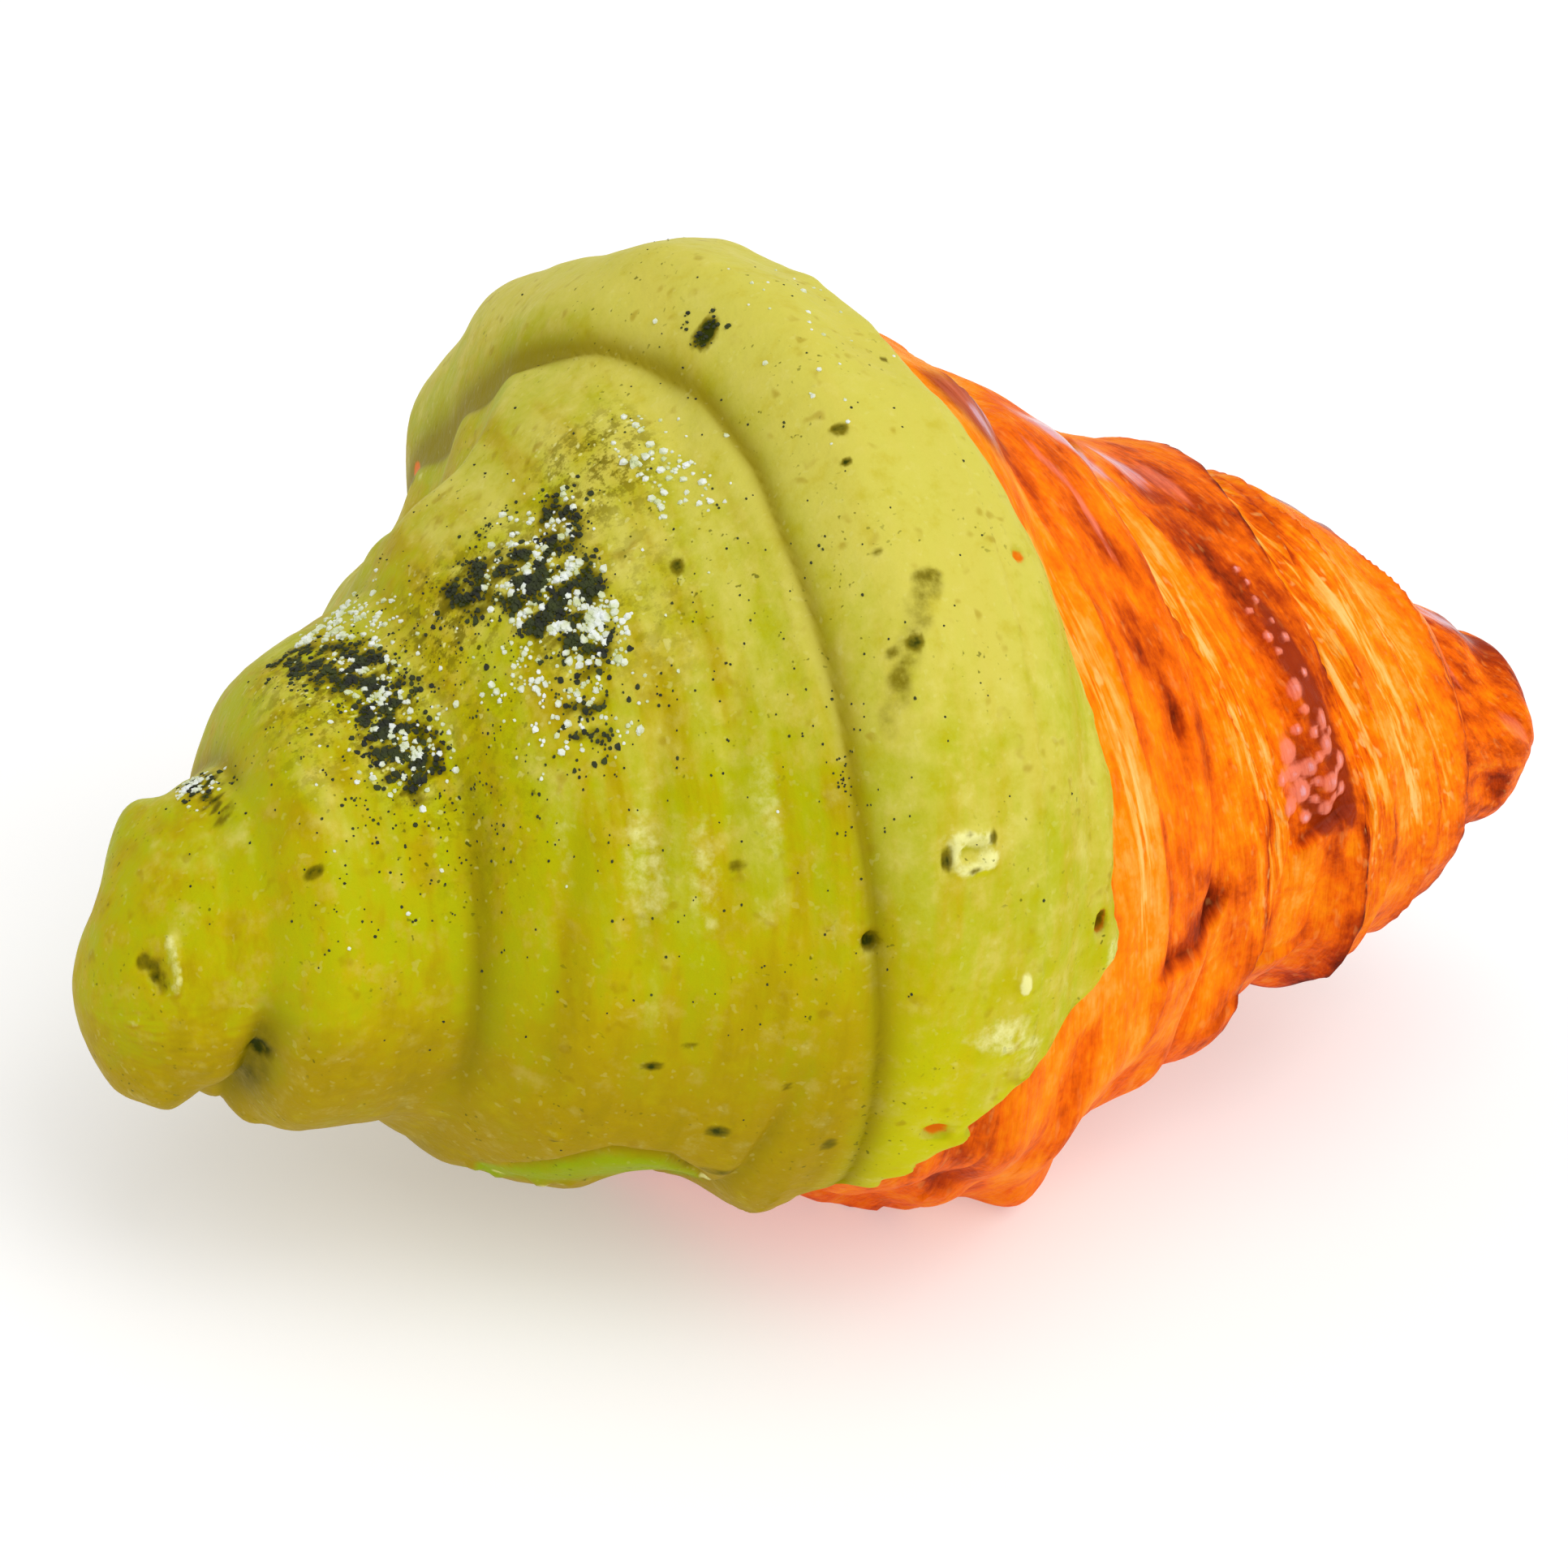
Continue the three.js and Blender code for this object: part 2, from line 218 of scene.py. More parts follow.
# Folds that the icing follows, as places by angle in degrees.
ICING_VALLEYS = (
    Valley(((-42, -47.5), (-19, -44.6), (6, -44.4), (30, -43.8), (50, -42.9), (62, -40.3)), 2.4, 0.5),
    Valley(((-42, -47.5), (-19, -44.6), (6, -44.4), (30, -43.8), (50, -42.9)), 0.8, 0.35),
    Valley(((-30, -38.4), (-6, -39.6), (15, -38.6), (46, -36.0)), 1.7, 0.7),
    Valley(((2, -33.9), (14, -33.3), (25, -32.0), (50, -28.8)), 1.6, 0.6),
    Valley(((8, -27.4), (18, -27.0), (28, -26.3), (52, -23.2)), 1.4, 0.5),
    Valley(((-80, -26.0), (-40, -23.6), (-27, -22.7), (-15, -22.0), (-4, -21.2)), 0.9, 0.9),
    Valley(((74, -31.5), (80, -34.5), (84, -38.0), (92, -41.0)), 0.8, 0.5),
    Valley(((-76, -60.6), (-50, -60.6), (-30, -60.5), (-14, -60.3), (0, -60.1), (22, -59.8)), 1.6, 1.2),
)
# The groove above the skirt where the icing ran down to the tray, as angles in degrees by place, and how
# far below the groove the skirt's fresh colour reaches.
SKIRT_GROOVE = Valley(
    ((-40.5, -50), (-38.7, -44), (-36.4, -36), (-33.5, -31), (-28.8, -30), (-25.3, -36), (-23.0, -44)),
    1.1, 1.1,
)
SKIRT_FADE = 3.0
SKIRT_WANDER = 0.7
SKIRT_WAVES = (2.2, 40.0)
SKIRT_COLOUR = Window(0.3, 10.0, 1.2, 5.0)
# The pale film that the icing dries to, by place along the roll, and what the tongue and faces that look up
# add to it. What faces that look up add is painted light, and the lower shares towards the dipped tip are
# painted shade.
FILM_PLACES = (-62, -44, -36, -24)
FILM_SHARE = (-0.45, -0.32, -0.1, -0.05)
FILM_ON_TONGUE = 0.35
FILM_FACING_UP = 0.65
FILM_ON_TOP = 0.15
TONGUE_TINT_START = 1.0
TONGUE_TINT_FULL = 6.0
# Chips, craters and lumps in the icing, as heights in millimetres.
ICING_SPOTS = rows_of(Spot, (
    (-9.9, 19.5, 3.4, 2.8, 0.6), (-9.9, 19.5, 2.0, 1.5, -1.4), (-12.2, 19.2, 0.8, 2.2, -0.7),
    (-68.6, 40, 0.9, 1.4, -0.7), (-68.0, 33, 0.9, 1.6, -0.9), (-67.7, 26, 0.7, 1.4, -0.7),
    (-66.8, 40, 0.7, 1.8, 0.6), (-66.7, 30, 0.6, 2.0, 0.55), (-66.8, 23, 0.6, 1.4, 0.5),
    (-69.8, 6, 0.7, 0.7, 0.3), (-71.0, 60, 0.8, 0.9, -0.35), (-17.4, 10, 1.1, 1.4, -1.0),
    (-40.6, -56, 1.1, 1.3, 0.5), (-38.8, -56, 1.0, 1.2, 0.45), (-37.4, -51, 0.9, 1.1, -0.3),
    (-36.2, -50, 1.2, 1.3, 0.5), (-34.2, -48, 1.0, 1.2, 0.3), (-32.4, -44, 0.9, 1.1, -0.25),
    (-24.4, -38.5, 0.9, 1.1, 0.5), (-38.1, -28, 0.9, 1.0, 0.3), (-11.2, 20.6, 1.0, 1.0, 0.3),
    (-8.6, 17.9, 1.2, 1.0, 0.35), (-60.2, -14, 1.1, 1.4, -0.4), (-5.7, -5, 2.6, 2.8, 0.3),
    (-4.4, 2, 1.0, 1.6, 0.45), (0.0, 50, 1.0, 1.0, -0.7), (-10.0, -17, 1.8, 1.1, -0.9),
    (5.4, 4, 0.8, 1.8, -1.4),
))
# Dark powder that is pressed in and smeared, and the dull ground around it. Some rows are painted shade:
# those at -68.6, -67.9 and -67.6 in the slits at the dipped tip, those at -60.5, -60.4 and -60.6 along the
# notch beside it, and those at -25.4, -24.0 and -26.2 in the fold at the skirt's end.
ICING_STAINS_AND_SHADE = rows_of(Spot, (
    (-17.4, 10, 1.0, 1.3, 1.0), (-32.5, -9, 1.1, 0.8, 0.8), (-30.0, -5, 0.7, 0.6, 0.5),
    (-26.5, -21, 1.3, 1.3, 0.75), (-60.2, -14, 1.0, 1.7, 0.6), (-56.3, 41, 1.1, 0.9, 0.7),
    (-12.6, 66, 1.1, 0.9, 0.8), (-13.2, 62, 0.6, 0.6, 0.8), (-4.5, 76, 0.6, 0.6, 0.8),
    (-17.3, 86, 1.3, 1.6, 0.85), (-26.0, 61, 0.8, 1.3, 0.7), (-26.5, 21, 1.0, 0.9, 0.45),
    (-10.0, 47.3, 2.2, 2.6, 0.28), (-11.5, 44.6, 2.1, 3.0, 0.26), (-13.0, 41.0, 1.9, 3.0, 0.26),
    (-14.2, 37.6, 1.6, 3.0, 0.24), (-15.4, 34.6, 1.2, 2.8, 0.2), (-9.4, 48.2, 1.3, 1.2, 0.22),
    (-10.8, 48.2, 1.2, 1.0, 0.16), (-12.4, 41.8, 1.0, 1.0, 0.5), (-14.4, 41.2, 0.7, 0.8, 0.32),
    (-14.2, 38.6, 1.0, 1.5, 0.16), (-13.4, 51.7, 0.8, 0.7, 0.35), (-22.4, -11, 0.6, 0.5, 0.7),
    (-18.0, -21, 1.0, 1.4, 0.6), (-68.6, 40, 0.8, 1.2, 0.5), (-67.9, 33, 0.7, 1.5, 0.55),
    (-67.6, 26, 0.6, 1.4, 0.45), (-12.1, 19.2, 0.6, 1.7, 0.7), (-7.9, 20.6, 0.6, 1.1, 0.6),
    (-9.9, 17.4, 0.9, 0.5, 0.5), (-10.2, 21.6, 0.7, 0.5, 0.3), (-25.4, -31.5, 1.8, 1.4, 0.34),
    (-24.0, -31, 1.4, 1.2, 0.3), (-26.2, -34.5, 1.2, 1.4, 0.34), (-38.0, -29, 0.5, 0.5, 0.5),
    (5.5, 4.4, 0.8, 1.9, 0.7), (-60.5, -26, 2.0, 5.0, 0.34), (-60.4, -8, 1.6, 3.4, 0.26),
    (-60.6, -44, 2.0, 5.0, 0.3), (-28.4, 154, 0.6, 1.6, 0.4),
))
# Pale places where the icing is chipped, rough or dusted.
ICING_PALE = rows_of(Spot, (
    (-10.9, 20.9, 1.9, 1.7, 0.8), (-9.0, 20.7, 1.7, 1.5, 0.85), (-11.5, 19.0, 1.3, 1.6, 0.6),
    (-8.4, 18.2, 1.7, 1.4, 0.9), (-10.3, 17.7, 1.5, 1.1, 0.7), (-66.8, 40, 0.7, 1.8, 0.6),
    (-66.7, 30, 0.6, 2.0, 0.6), (-66.8, 23, 0.6, 1.4, 0.5), (-69.8, 6, 0.6, 0.6, 0.4),
    (-24.4, -37.5, 0.8, 1.2, 0.9), (-38.9, -54, 1.1, 1.0, 0.5), (-37.6, -51, 1.0, 0.8, 0.45),
    (-36.0, -50, 1.3, 0.9, 0.5), (-34.6, -48.5, 1.1, 0.8, 0.45), (-38.3, -27, 0.9, 1.0, 0.35),
    (-4.4, 2.5, 0.9, 1.6, 1.0), (-5.4, -4, 4.0, 3.8, 0.5), (-2.6, -7, 2.4, 2.4, 0.4),
    (-8.5, -3, 3.4, 2.6, 0.25), (7.4, -1, 1.8, 3.0, 0.5), (-33.0, 23, 3.0, 10.0, 0.45),
    (-29.0, 20, 2.2, 10.0, 0.4), (-24.0, 28, 2.0, 9.0, 0.35), (-38.5, 30, 1.6, 9.0, 0.3),
    (-26.7, 159, 0.8, 3.0, 0.5), (-28.6, 150, 0.5, 2.0, 0.4),
))
# Places where the crust shows through the icing.
ICING_BARE = rows_of(Spot, (
    (0.0, 50, 1.4, 1.2, 0.6), (-10.0, -17, 2.0, 1.4, 0.7), (-27.8, 155, 0.9, 2.8, 1.0),
    (5.5, 4.4, 0.9, 2.1, 1.0),
))
# Ground that is rubbed with dark powder.
ICING_DUSTY = rows_of(Spot, (
    (-53.0, 95, 4.0, 9.0, 0.5), (-49.0, 80, 5.0, 14.0, 0.8), (-47.5, 62, 4.0, 9.0, 0.7),
    (-54.0, 72, 4.0, 9.0, 0.45), (-41.0, 80, 4.5, 10.0, 0.9), (-36.0, 74, 5.0, 12.0, 0.8),
    (-34.0, 60, 4.5, 9.0, 0.7), (-29.5, 82, 4.5, 9.0, 0.8), (-25.6, 80, 3.5, 9.0, 0.7),
    (-29.0, 62, 6.0, 16.0, 0.35), (-44.0, 52, 8.0, 20.0, 0.35), (-60.5, 96, 2.0, 5.0, 0.5),
))
# Blisters, pockets and dents of the crust, as heights in millimetres.
CRUST_SPOTS = rows_of(Spot, (
    (34.6, 24, 2.8, 11.0, 0.7), (32.6, 42, 2.4, 7.0, 0.4), (17.6, 28, 1.0, 3.0, -0.7),
    (22.0, -7.5, 4.0, 4.0, -0.5), (6.4, 77, 2.0, 3.0, 0.9), (23.0, 88, 2.2, 6.0, 0.6),
    (64.5, -14, 3.0, 3.0, -0.7), (68.5, 30, 2.6, 4.0, 0.5),
))
# Browned and pale places of the crust. The row at 22.0, -7.0 is painted shade in the pocket's dent.
CRUST_BROWN = rows_of(Spot, (
    (26.5, 70, 3.4, 9.0, 0.14), (30.4, 50, 2.8, 9.0, 0.14), (29.0, 58, 1.6, 5.0, 0.1),
    (14.6, 58, 2.4, 6.0, 0.18), (15.2, 42, 2.2, 7.0, 0.18), (17.4, 30, 1.2, 4.2, 0.3),
    (22.0, -7.0, 3.8, 3.8, 0.23), (66.0, -16, 3.0, 3.0, 0.2), (8.0, 72, 2.0, 6.0, 0.2),
    (70.5, 34, 2.0, 4.0, 0.2), (42.0, -30, 3.0, 3.0, 0.1), (66.5, 70, 5.0, 6.0, 0.2),
    (38.4, -6, 1.4, 5.0, 0.08), (12.2, 20, 1.2, 9.0, -0.12), (13.2, 3, 1.2, 6.0, -0.1),
    (9.6, 34, 1.0, 7.0, -0.08), (20.0, 12, 3.0, 6.0, -0.06), (34.0, -10, 5.0, 7.0, -0.12),
    (12.0, -30, 5.0, 6.0, -0.06),
))
# The broad browner faces between the stretched strips, as places by angle in degrees.
CRUST_FACES = (
    Valley(((-20, 22.4), (2, 22.0), (17, 20.4), (33, 17.4), (45, 15.6), (60, 12.8), (80, 10.6), (110, 9.0)),
           5.0, 0.18),
    Valley(((-20, 37.2), (2, 36.0), (22, 34.4), (36, 32.8), (63, 29.8), (83, 28.0), (115, 27.0)),
           3.8, 0.27),
)
# Pockets under the icing's lower rim, sunk and darkened with painted shade, as places by angle in degrees.
CRUST_POCKETS = (
    Valley(((-46, -1.0), (-36, -2.8), (-28, -4.6), (-18, -6.4)), 2.3, 1.0),
    Valley(((-40, 4.2), (-30, 5.2), (-24, 6.2), (-12, 8.6)), 1.8, 1.0),
)
POCKET_DEPTH = 0.9
POCKET_SHADE = 0.17
# Egg wash that dried thick enough to shine, where a painted highlight of the sky's reflection is also laid
# into the colour.
CRUST_SHINE = rows_of(Spot, (
    (15.4, 84, 2.8, 5.0, 0.9), (17.4, 80, 2.6, 6.0, 1.0), (21.0, 84, 2.6, 6.0, 0.9),
    (25.0, 87, 2.6, 7.0, 1.0), (6.3, 77, 1.3, 4.0, 0.9), (4.4, 72, 1.1, 4.0, 0.9),
    (57.0, 64, 1.6, 8.0, 0.4), (66.6, 22, 2.0, 3.0, 0.4), (62.0, 86, 4.5, 3.5, 0.9),
    (48.0, 98, 7.0, 3.0, 0.6),
))
# The dark red of the thick egg wash round the blister and on top, and the pink of its thin skin.
CRUST_GLAZE = rows_of(Spot, (
    (32.8, 46, 1.9, 6.0, 0.8), (33.4, 38, 2.2, 5.0, 1.2), (35.0, 30, 2.4, 5.0, 1.0),
    (36.0, 22, 2.6, 5.0, 0.9), (37.4, 15, 2.2, 5.0, 1.1), (38.2, 9, 1.5, 4.0, 1.2),
    (35.6, 6, 2.6, 3.0, 1.0), (33.4, 13, 2.6, 5.0, 0.7), (32.4, 22, 1.6, 4.0, 0.5),
    (56.8, 50, 0.8, 14.0, 0.6), (70.6, 32, 1.2, 3.0, 0.6), (3.6, 74, 4.0, 10.0, 0.8),
    (7.0, 77, 3.4, 8.0, 0.7), (20.0, 90, 3.5, 5.0, 0.6), (65.0, 84, 6.0, 5.0, 0.8),
    (48.0, 99, 8.0, 4.0, 0.8), (18.4, 76, 1.2, 5.0, 0.6), (26.6, 74, 1.6, 7.0, 0.5),
))
CRUST_BLUSH = rows_of(Spot, (
    (32.2, 13, 2.2, 4.0, 0.5), (31.8, 21, 1.6, 3.5, 0.5), (28.6, 83, 2.8, 7.0, 0.6),
    (3.8, 74, 3.4, 9.0, 0.5), (7.0, 78, 2.6, 7.0, 0.45), (12.0, 74, 0.9, 5.0, 0.7),
    (13.8, 66, 0.8, 6.0, 0.7), (14.6, 58, 0.7, 5.0, 0.6), (66.8, 24, 1.8, 2.8, 0.6),
    (58.6, 58, 0.8, 6.0, 0.6), (23.0, 90, 3.2, 7.0, 0.5), (62.0, 88, 5.0, 3.0, 0.5),
))
# The blister's bubbles: large ones at its lower end, small ones above.
CRUST_BUBBLES = rows_of(Spot, (
    (35.7, 14.5, 1.3, 1.5, 0.8), (35.6, 8.6, 1.2, 1.3, 0.7), (33.1, 12.6, 1.2, 1.5, 0.55),
    (31.7, 9.0, 1.1, 1.3, 0.5), (33.6, 17.6, 1.1, 1.4, 0.6), (31.7, 21, 1.0, 1.4, 0.35),
    (37.2, 18.6, 1.0, 1.3, 0.7), (35.4, 22.4, 1.0, 1.5, 0.7), (35.2, 27.4, 0.8, 1.6, 0.6),
    (32.6, 33.4, 1.0, 1.6, 0.7), (33.7, 6.4, 0.9, 1.0, 0.5), (37.5, 12.4, 0.8, 1.1, 0.6),
    (33.2, 44, 0.7, 0.8, 0.5), (31.3, 44, 0.7, 0.8, 0.5), (31.5, 52, 0.6, 0.7, 0.45),
    (31.4, 56, 0.6, 0.6, 0.45), (32.4, 47.5, 0.5, 0.6, 0.4), (30.4, 49.6, 0.6, 0.6, 0.4),
    (32.0, 41, 0.5, 0.6, 0.4), (30.9, 59, 0.6, 0.6, 0.4), (36.5, 10.8, 0.7, 0.8, 0.5),
    (34.5, 10.6, 0.7, 0.8, 0.5), (36.6, 16.4, 0.7, 0.8, 0.5), (34.6, 19.8, 0.7, 0.8, 0.5),
    (34.2, 24.8, 0.7, 0.9, 0.5), (36.2, 25.0, 0.7, 0.7, 0.45), (34.5, 14.6, 0.7, 0.8, 0.45),
    (32.2, 16.2, 0.8, 0.9, 0.4), (33.4, 29.4, 0.7, 0.8, 0.5), (34.2, 36.8, 0.7, 0.7, 0.45),
    (30.8, 15.4, 0.8, 1.0, 0.35), (32.6, 25.4, 0.7, 0.8, 0.35),
))
# Strips where the dough was stretched into short pale streaks, as places by angle in degrees.
CRUST_STREAKS = (
    Valley(((-16, 13.6), (2, 12.7), (17, 11.4), (30, 9.4), (40, 7.8), (50, 6.2), (64, 3.4)), 1.0, 1.0),
    Valley(((-30, 30.8), (-3, 30.2), (11, 29.4), (21, 27.9), (33, 25.6), (43, 23.7), (55, 21.2), (67, 19.6),
            (95, 18.6)), 2.2, 1.0),
    Valley(((-30, 45.2), (0, 43.0), (13, 41.8), (31, 40.2), (52, 37.6), (73, 36.4), (105, 37.4)),
           1.9, 1.0),
    Valley(((-24, 50.4), (0, 49.4), (13, 48.2), (33, 45.6), (58, 41.8), (84, 40.0)), 1.7, 0.9),
    Valley(((-20, 54.6), (0, 54.0), (21, 52.2), (41, 49.8), (65, 46.0), (84, 43.0)), 1.2, 0.7),
)
# Plates of dough whose upper edges run along the roll, as angles in degrees by place, with the step at the
# edge, how far the plate slopes away from it, and the width of the recess above it and how dark the shade
# painted in it is.
CRUST_PLATES = (
    Plate(((32.0, -3.0), (34.7, 1.5), (37.0, 5.0), (39.6, 9.5)), 1.0, 8.0, 1.1, 0.36),
    Plate(((13.6, -13.5), (19.5, -12.5), (23.0, -12.0), (24.6, -9.5), (25.4, -5.0), (25.8, 0.0)),
          1.1, 8.0, 2.8, 0.44),
    Plate(((24.0, -40.0), (29.0, -34.0), (34.0, -29.0), (39.0, -27.0)), 0.5, 6.0, 1.2, 0.1),
)
PLATE_EDGE = 0.8
# The shares of a plate's length over which its two ends fade, and the waves of its edge.
PLATE_RISE = 0.3
PLATE_FALL = 0.15
PLATE_WANDER = 0.3
PLATE_WAVES = (2.5, 40.0)
RECESS_SHARE = 0.35
# Edges of the larger sheets of dough, as places by angle in degrees, with the step down at the edge,
# how far back the sheet rises to it, and how browned its rim is.
CRUST_SHEETS = (
    Sheet(((-14, 15.9), (2, 15.1), (17, 13.6), (27, 11.8), (45, 10.0), (60, 7.4), (80, 4.0)),
          0.8, 6.0, -0.05),
    Sheet(((-21, 30.4), (-3, 29.2), (11, 28.4), (21, 26.7), (33, 24.0), (43, 22.0), (55, 19.4), (67, 17.9),
           (85, 17.4)), 1.3, 9.0, 0.14),
    Sheet(((2, 31.8), (22, 29.7), (36, 28.1), (63, 24.4), (83, 21.3)), 0.5, 4.0, 0.0),
    Sheet(((-22, 42.4), (-10, 41.5), (13, 39.6), (31, 38.1), (52, 35.8), (73, 34.5), (104, 35.9)),
          1.7, 9.0, 0.26),
    Sheet(((-15, 46.6), (13, 44.0), (33, 41.7), (58, 38.9), (91, 38.5)), 0.9, 4.0, 0.08),
    Sheet(((-26, 53.1), (0, 52.4), (21, 50.6), (41, 48.0), (65, 43.6), (85, 40.4)), 1.0, 5.0, 0.1),
    Sheet(((-16, 57.7), (5, 56.8), (28, 55.7), (46, 54.7), (66, 53.4), (82, 50.4)), 1.5, 7.0, 0.24),
)
SHEET_EDGE = 0.6
SHEET_RIM = 2.6
SHEET_CURVE = 1.5
SHEET_WANDER = 0.5
SHEET_WAVES = (30.0, 5.0)
# Painted shade on the crust just beyond each sheet's step, by the step's height.
STEP_SHADE = 0.34
# Where the sheets' brown rims are broken: the size of the breaks, and how much brown is left.
BREAK_SIZE = (14.0, 11.0)
BREAK_MIDDLE = 0.75
BREAK_CHANGE = 0.6
BREAK_LEAST = 0.25
BREAK_MOST = 1.2
# Thin flakes between the sheets: how their edges wander, how far they stand up in some patches and lie flat
# in others, and the seeded heights that are dealt out to them in turn.
FLAKE_BENDS = (26.0, 10.0)
FLAKE_WOBBLES = (9.0, 7.0)
FLAKE_WOBBLE = 0.35
FLAKE_PATCHES = (11.0, 10.0)
FLAKE_PATCH_SHIFT = 50
FLAKE_COVER = 0.55
FLAKE_COVER_CHANGE = 0.6
FLAKE_COVER_LEAST = 0.1
FLAKE_HEIGHTS = (0.25, 1.0)
FLAKE_KINDS = 97
FLAKE_EDGE = 0.2
# The share of each flake, at its foot below the edge before it, that gets painted shade.
FLAKE_FOLD = 0.16
# The rest of the crust's relief, as sizes along the roll and round it and as heights in millimetres.
FINE_SIZE = (1.1, 9.0)
FINE_HEIGHT = 0.07
FINE_HEIGHT_STREAKED = 0.27
KNOB_SIZE = (3.2, 4.2)
KNOB_HEIGHT = 0.12
SWELL_SIZE = (9.0, 12.0)
SWELL_HEIGHT = 0.35
BACK_STREAK_SIZE = (8.0, 40.0)
STREAK_DEPTH = 0.3
FLAKE_MIDDLE = 0.35
CRUST_LOWERING = 0.4
# How far the crust is baked and shaded, from 0, pale, to 1, burnt: its plain tone, and what each feature
# adds to it.
# The terms for creases and the flakes' feet are painted shade, and the underside is darker towards the
# bottom.
BAKE_PLAIN = 0.45
BAKE_SWELL = 0.06
BAKE_KNOB = 0.05
BAKE_FLAKE = 0.08
BAKE_FLAKE_MIDDLE = 0.3
BAKE_TIP = 0.18
BAKE_TIP_START = 55
BAKE_TIP_FULL = 59
CREASE_SHADE = 0.12
FLAKE_FOOT_SHADE = 0.06
UNDERSIDE_DARKENING = 0.12
BUBBLE_BLUSH = 0.85
# A painted highlight, with more gloss, on the tops of the bubbles.
BUBBLE_SHINE = 0.8
MOST_SHINE = 1.2

# Dark powder and white sugar, in patches: place, angle, spread of each, number and largest radius.
DARK_PATCHES = rows_of(Patch, (
    (-51.0, 104, 1.0, 3, 80, 0.4), (-49.5, 93, 1.2, 5, 280, 0.4), (-47.4, 83, 1.2, 5, 280, 0.4),
    (-47.3, 72, 1.3, 5, 260, 0.4), (-47.4, 60, 1.4, 5, 260, 0.4), (-46.4, 54, 1.2, 3, 100, 0.4),
    (-40.2, 80, 1.0, 2, 60, 0.4), (-38.7, 77, 1.1, 3, 140, 0.4), (-35.8, 74, 1.4, 4, 260, 0.4),
    (-35.2, 68, 1.5, 4, 320, 0.4), (-35.0, 63, 1.2, 3, 160, 0.4), (-32.1, 77, 1.0, 3, 140, 0.4),
    (-32.2, 66, 0.9, 3, 100, 0.4), (-33.8, 57, 1.2, 3, 140, 0.4), (-35.1, 46, 1.0, 3, 90, 0.4),
    (-36.2, 86, 2.0, 1.5, 40, 0.3), (-60.3, 97, 0.9, 6, 50, 0.4), (-17.6, 86.4, 0.7, 1.2, 40, 0.4),
    (-18.6, 27, 0.9, 4, 40, 0.16), (-45.0, 60, 7.0, 24, 420, 0.2), (-27.0, 45, 8.0, 26, 160, 0.18),
    (-10.0, 60, 9.0, 30, 60, 0.18),
))
SUGAR_PATCHES = rows_of(Patch, (
    (-45.6, 108, 1.4, 4, 90, 0.5), (-48.6, 107, 1.0, 3, 40, 0.45), (-44.6, 96, 1.2, 4, 40, 0.45),
    (-47.2, 77, 1.6, 12, 120, 0.45), (-46.2, 57, 1.4, 4, 60, 0.45), (-32.6, 58, 1.0, 3.5, 120, 0.5),
    (-33.6, 64, 1.4, 5, 80, 0.5), (-35.4, 71, 1.8, 6, 110, 0.5), (-36.3, 51, 1.4, 4, 50, 0.45),
    (-38.8, 57, 1.3, 4, 40, 0.45), (-32.4, 77, 1.2, 4, 50, 0.45), (-24.8, 79, 0.8, 2.5, 35, 0.5),
    (-24.5, 72, 0.8, 2, 25, 0.5), (-21.8, 68, 0.5, 1.2, 12, 0.5), (-23.2, 75, 0.8, 2, 18, 0.5),
    (-32.6, 44, 0.9, 3, 18, 0.45), (-60.3, 101, 1.0, 5, 60, 0.45), (-12.0, 85, 6.0, 10, 40, 0.35),
    (-40.0, 60, 8.0, 22, 60, 0.28),
))
CLUMP_SIZE = (1.2, 1.2)
CLUMP_SPILL = 0.28
# The icing is stained under patches with grains of this size, over this many times their spread.
CLUMPED_SIZE = 0.4
GROUND_REACH = 2.4
DEGREE_WIDTH = 0.65
POWDER_STAIN = 0.85
DRAWS_PER_GRAIN = 4
GRAIN_SINK = 0.1
GRAIN_CORNERS = (0.7, 1.15)
DARK_FLATNESS = 0.6
DARK_ROUGHNESS = 0.8
SUGAR_FLATNESS = 0.85
SUGAR_ROUGHNESS = 0.45

# Columns of vertices lie closer together round the front.
FRONT_ANGLE = math.radians(25)
FRONT_CROWDING = 0.35
CRUST_COLUMNS = 372
CRUST_DIPPED_ROWS = 40
CRUST_BARE_ROWS = 222
CRUST_FINE_FROM = -24.0
ICING_COLUMNS = 424
ICING_STRAIGHT_ROWS = 106
ICING_FAN_ROWS = 88
ICING_RIM_ROWS = 6
ICING_INNER_ROWS = 30
TIP_CROWDING = 1.2
TIP_RADIUS = 12.0
SEAM_GAP = 1e-5
SEED = 41


def srgb(red, green, blue):
    """A linear colour from the 0 to 255 values of a screen."""
    return tuple(((value / 255 + 0.055) / 1.055) ** 2.4 for value in (red, green, blue))


def blend(low, high, share):
    return low + (high - low) * share


def smooth(value, low, high):
    share = np.clip((value - low) / (high - low), 0, 1)
    return share * share * (3 - 2 * share)


def inside(value, window):
    """1 inside a window, and smoothly 0 beyond its ends."""
    rising = smooth(value, window.low, window.low + window.rise)
    return rising * smooth(-value, -window.high, window.fall - window.high)


def half_turn(angle):
    """An angle brought between minus and plus half a turn."""
    return (angle + math.pi) % (2 * math.pi) - math.pi


def rounded_edge(share):
    """The height of a round edge, from 0 at its start to 1 where share is 1."""
    short = 1 - np.clip(share, 0, 1)
    return np.sqrt(1 - short * short)


def swing_at(angle):
    """The share of its lean that an edge has at an angle: 1 at the lower front and -1 opposite."""
    return np.cos(angle - LEAN_ANGLE)


def band_radius(band, x, swing, side, grow):
    """Radius of one band. side is -1 for a dipped band and 1 for a bare one."""
    edge = band.edge + band.lean * swing + side * grow
    behind = (edge - x) * side
    taper = np.clip(behind / ((edge - band.root) * side), 0, 1)
    return (blend(band.outer, band.inner, taper) + grow) * rounded_edge(behind / (band.lip + grow))


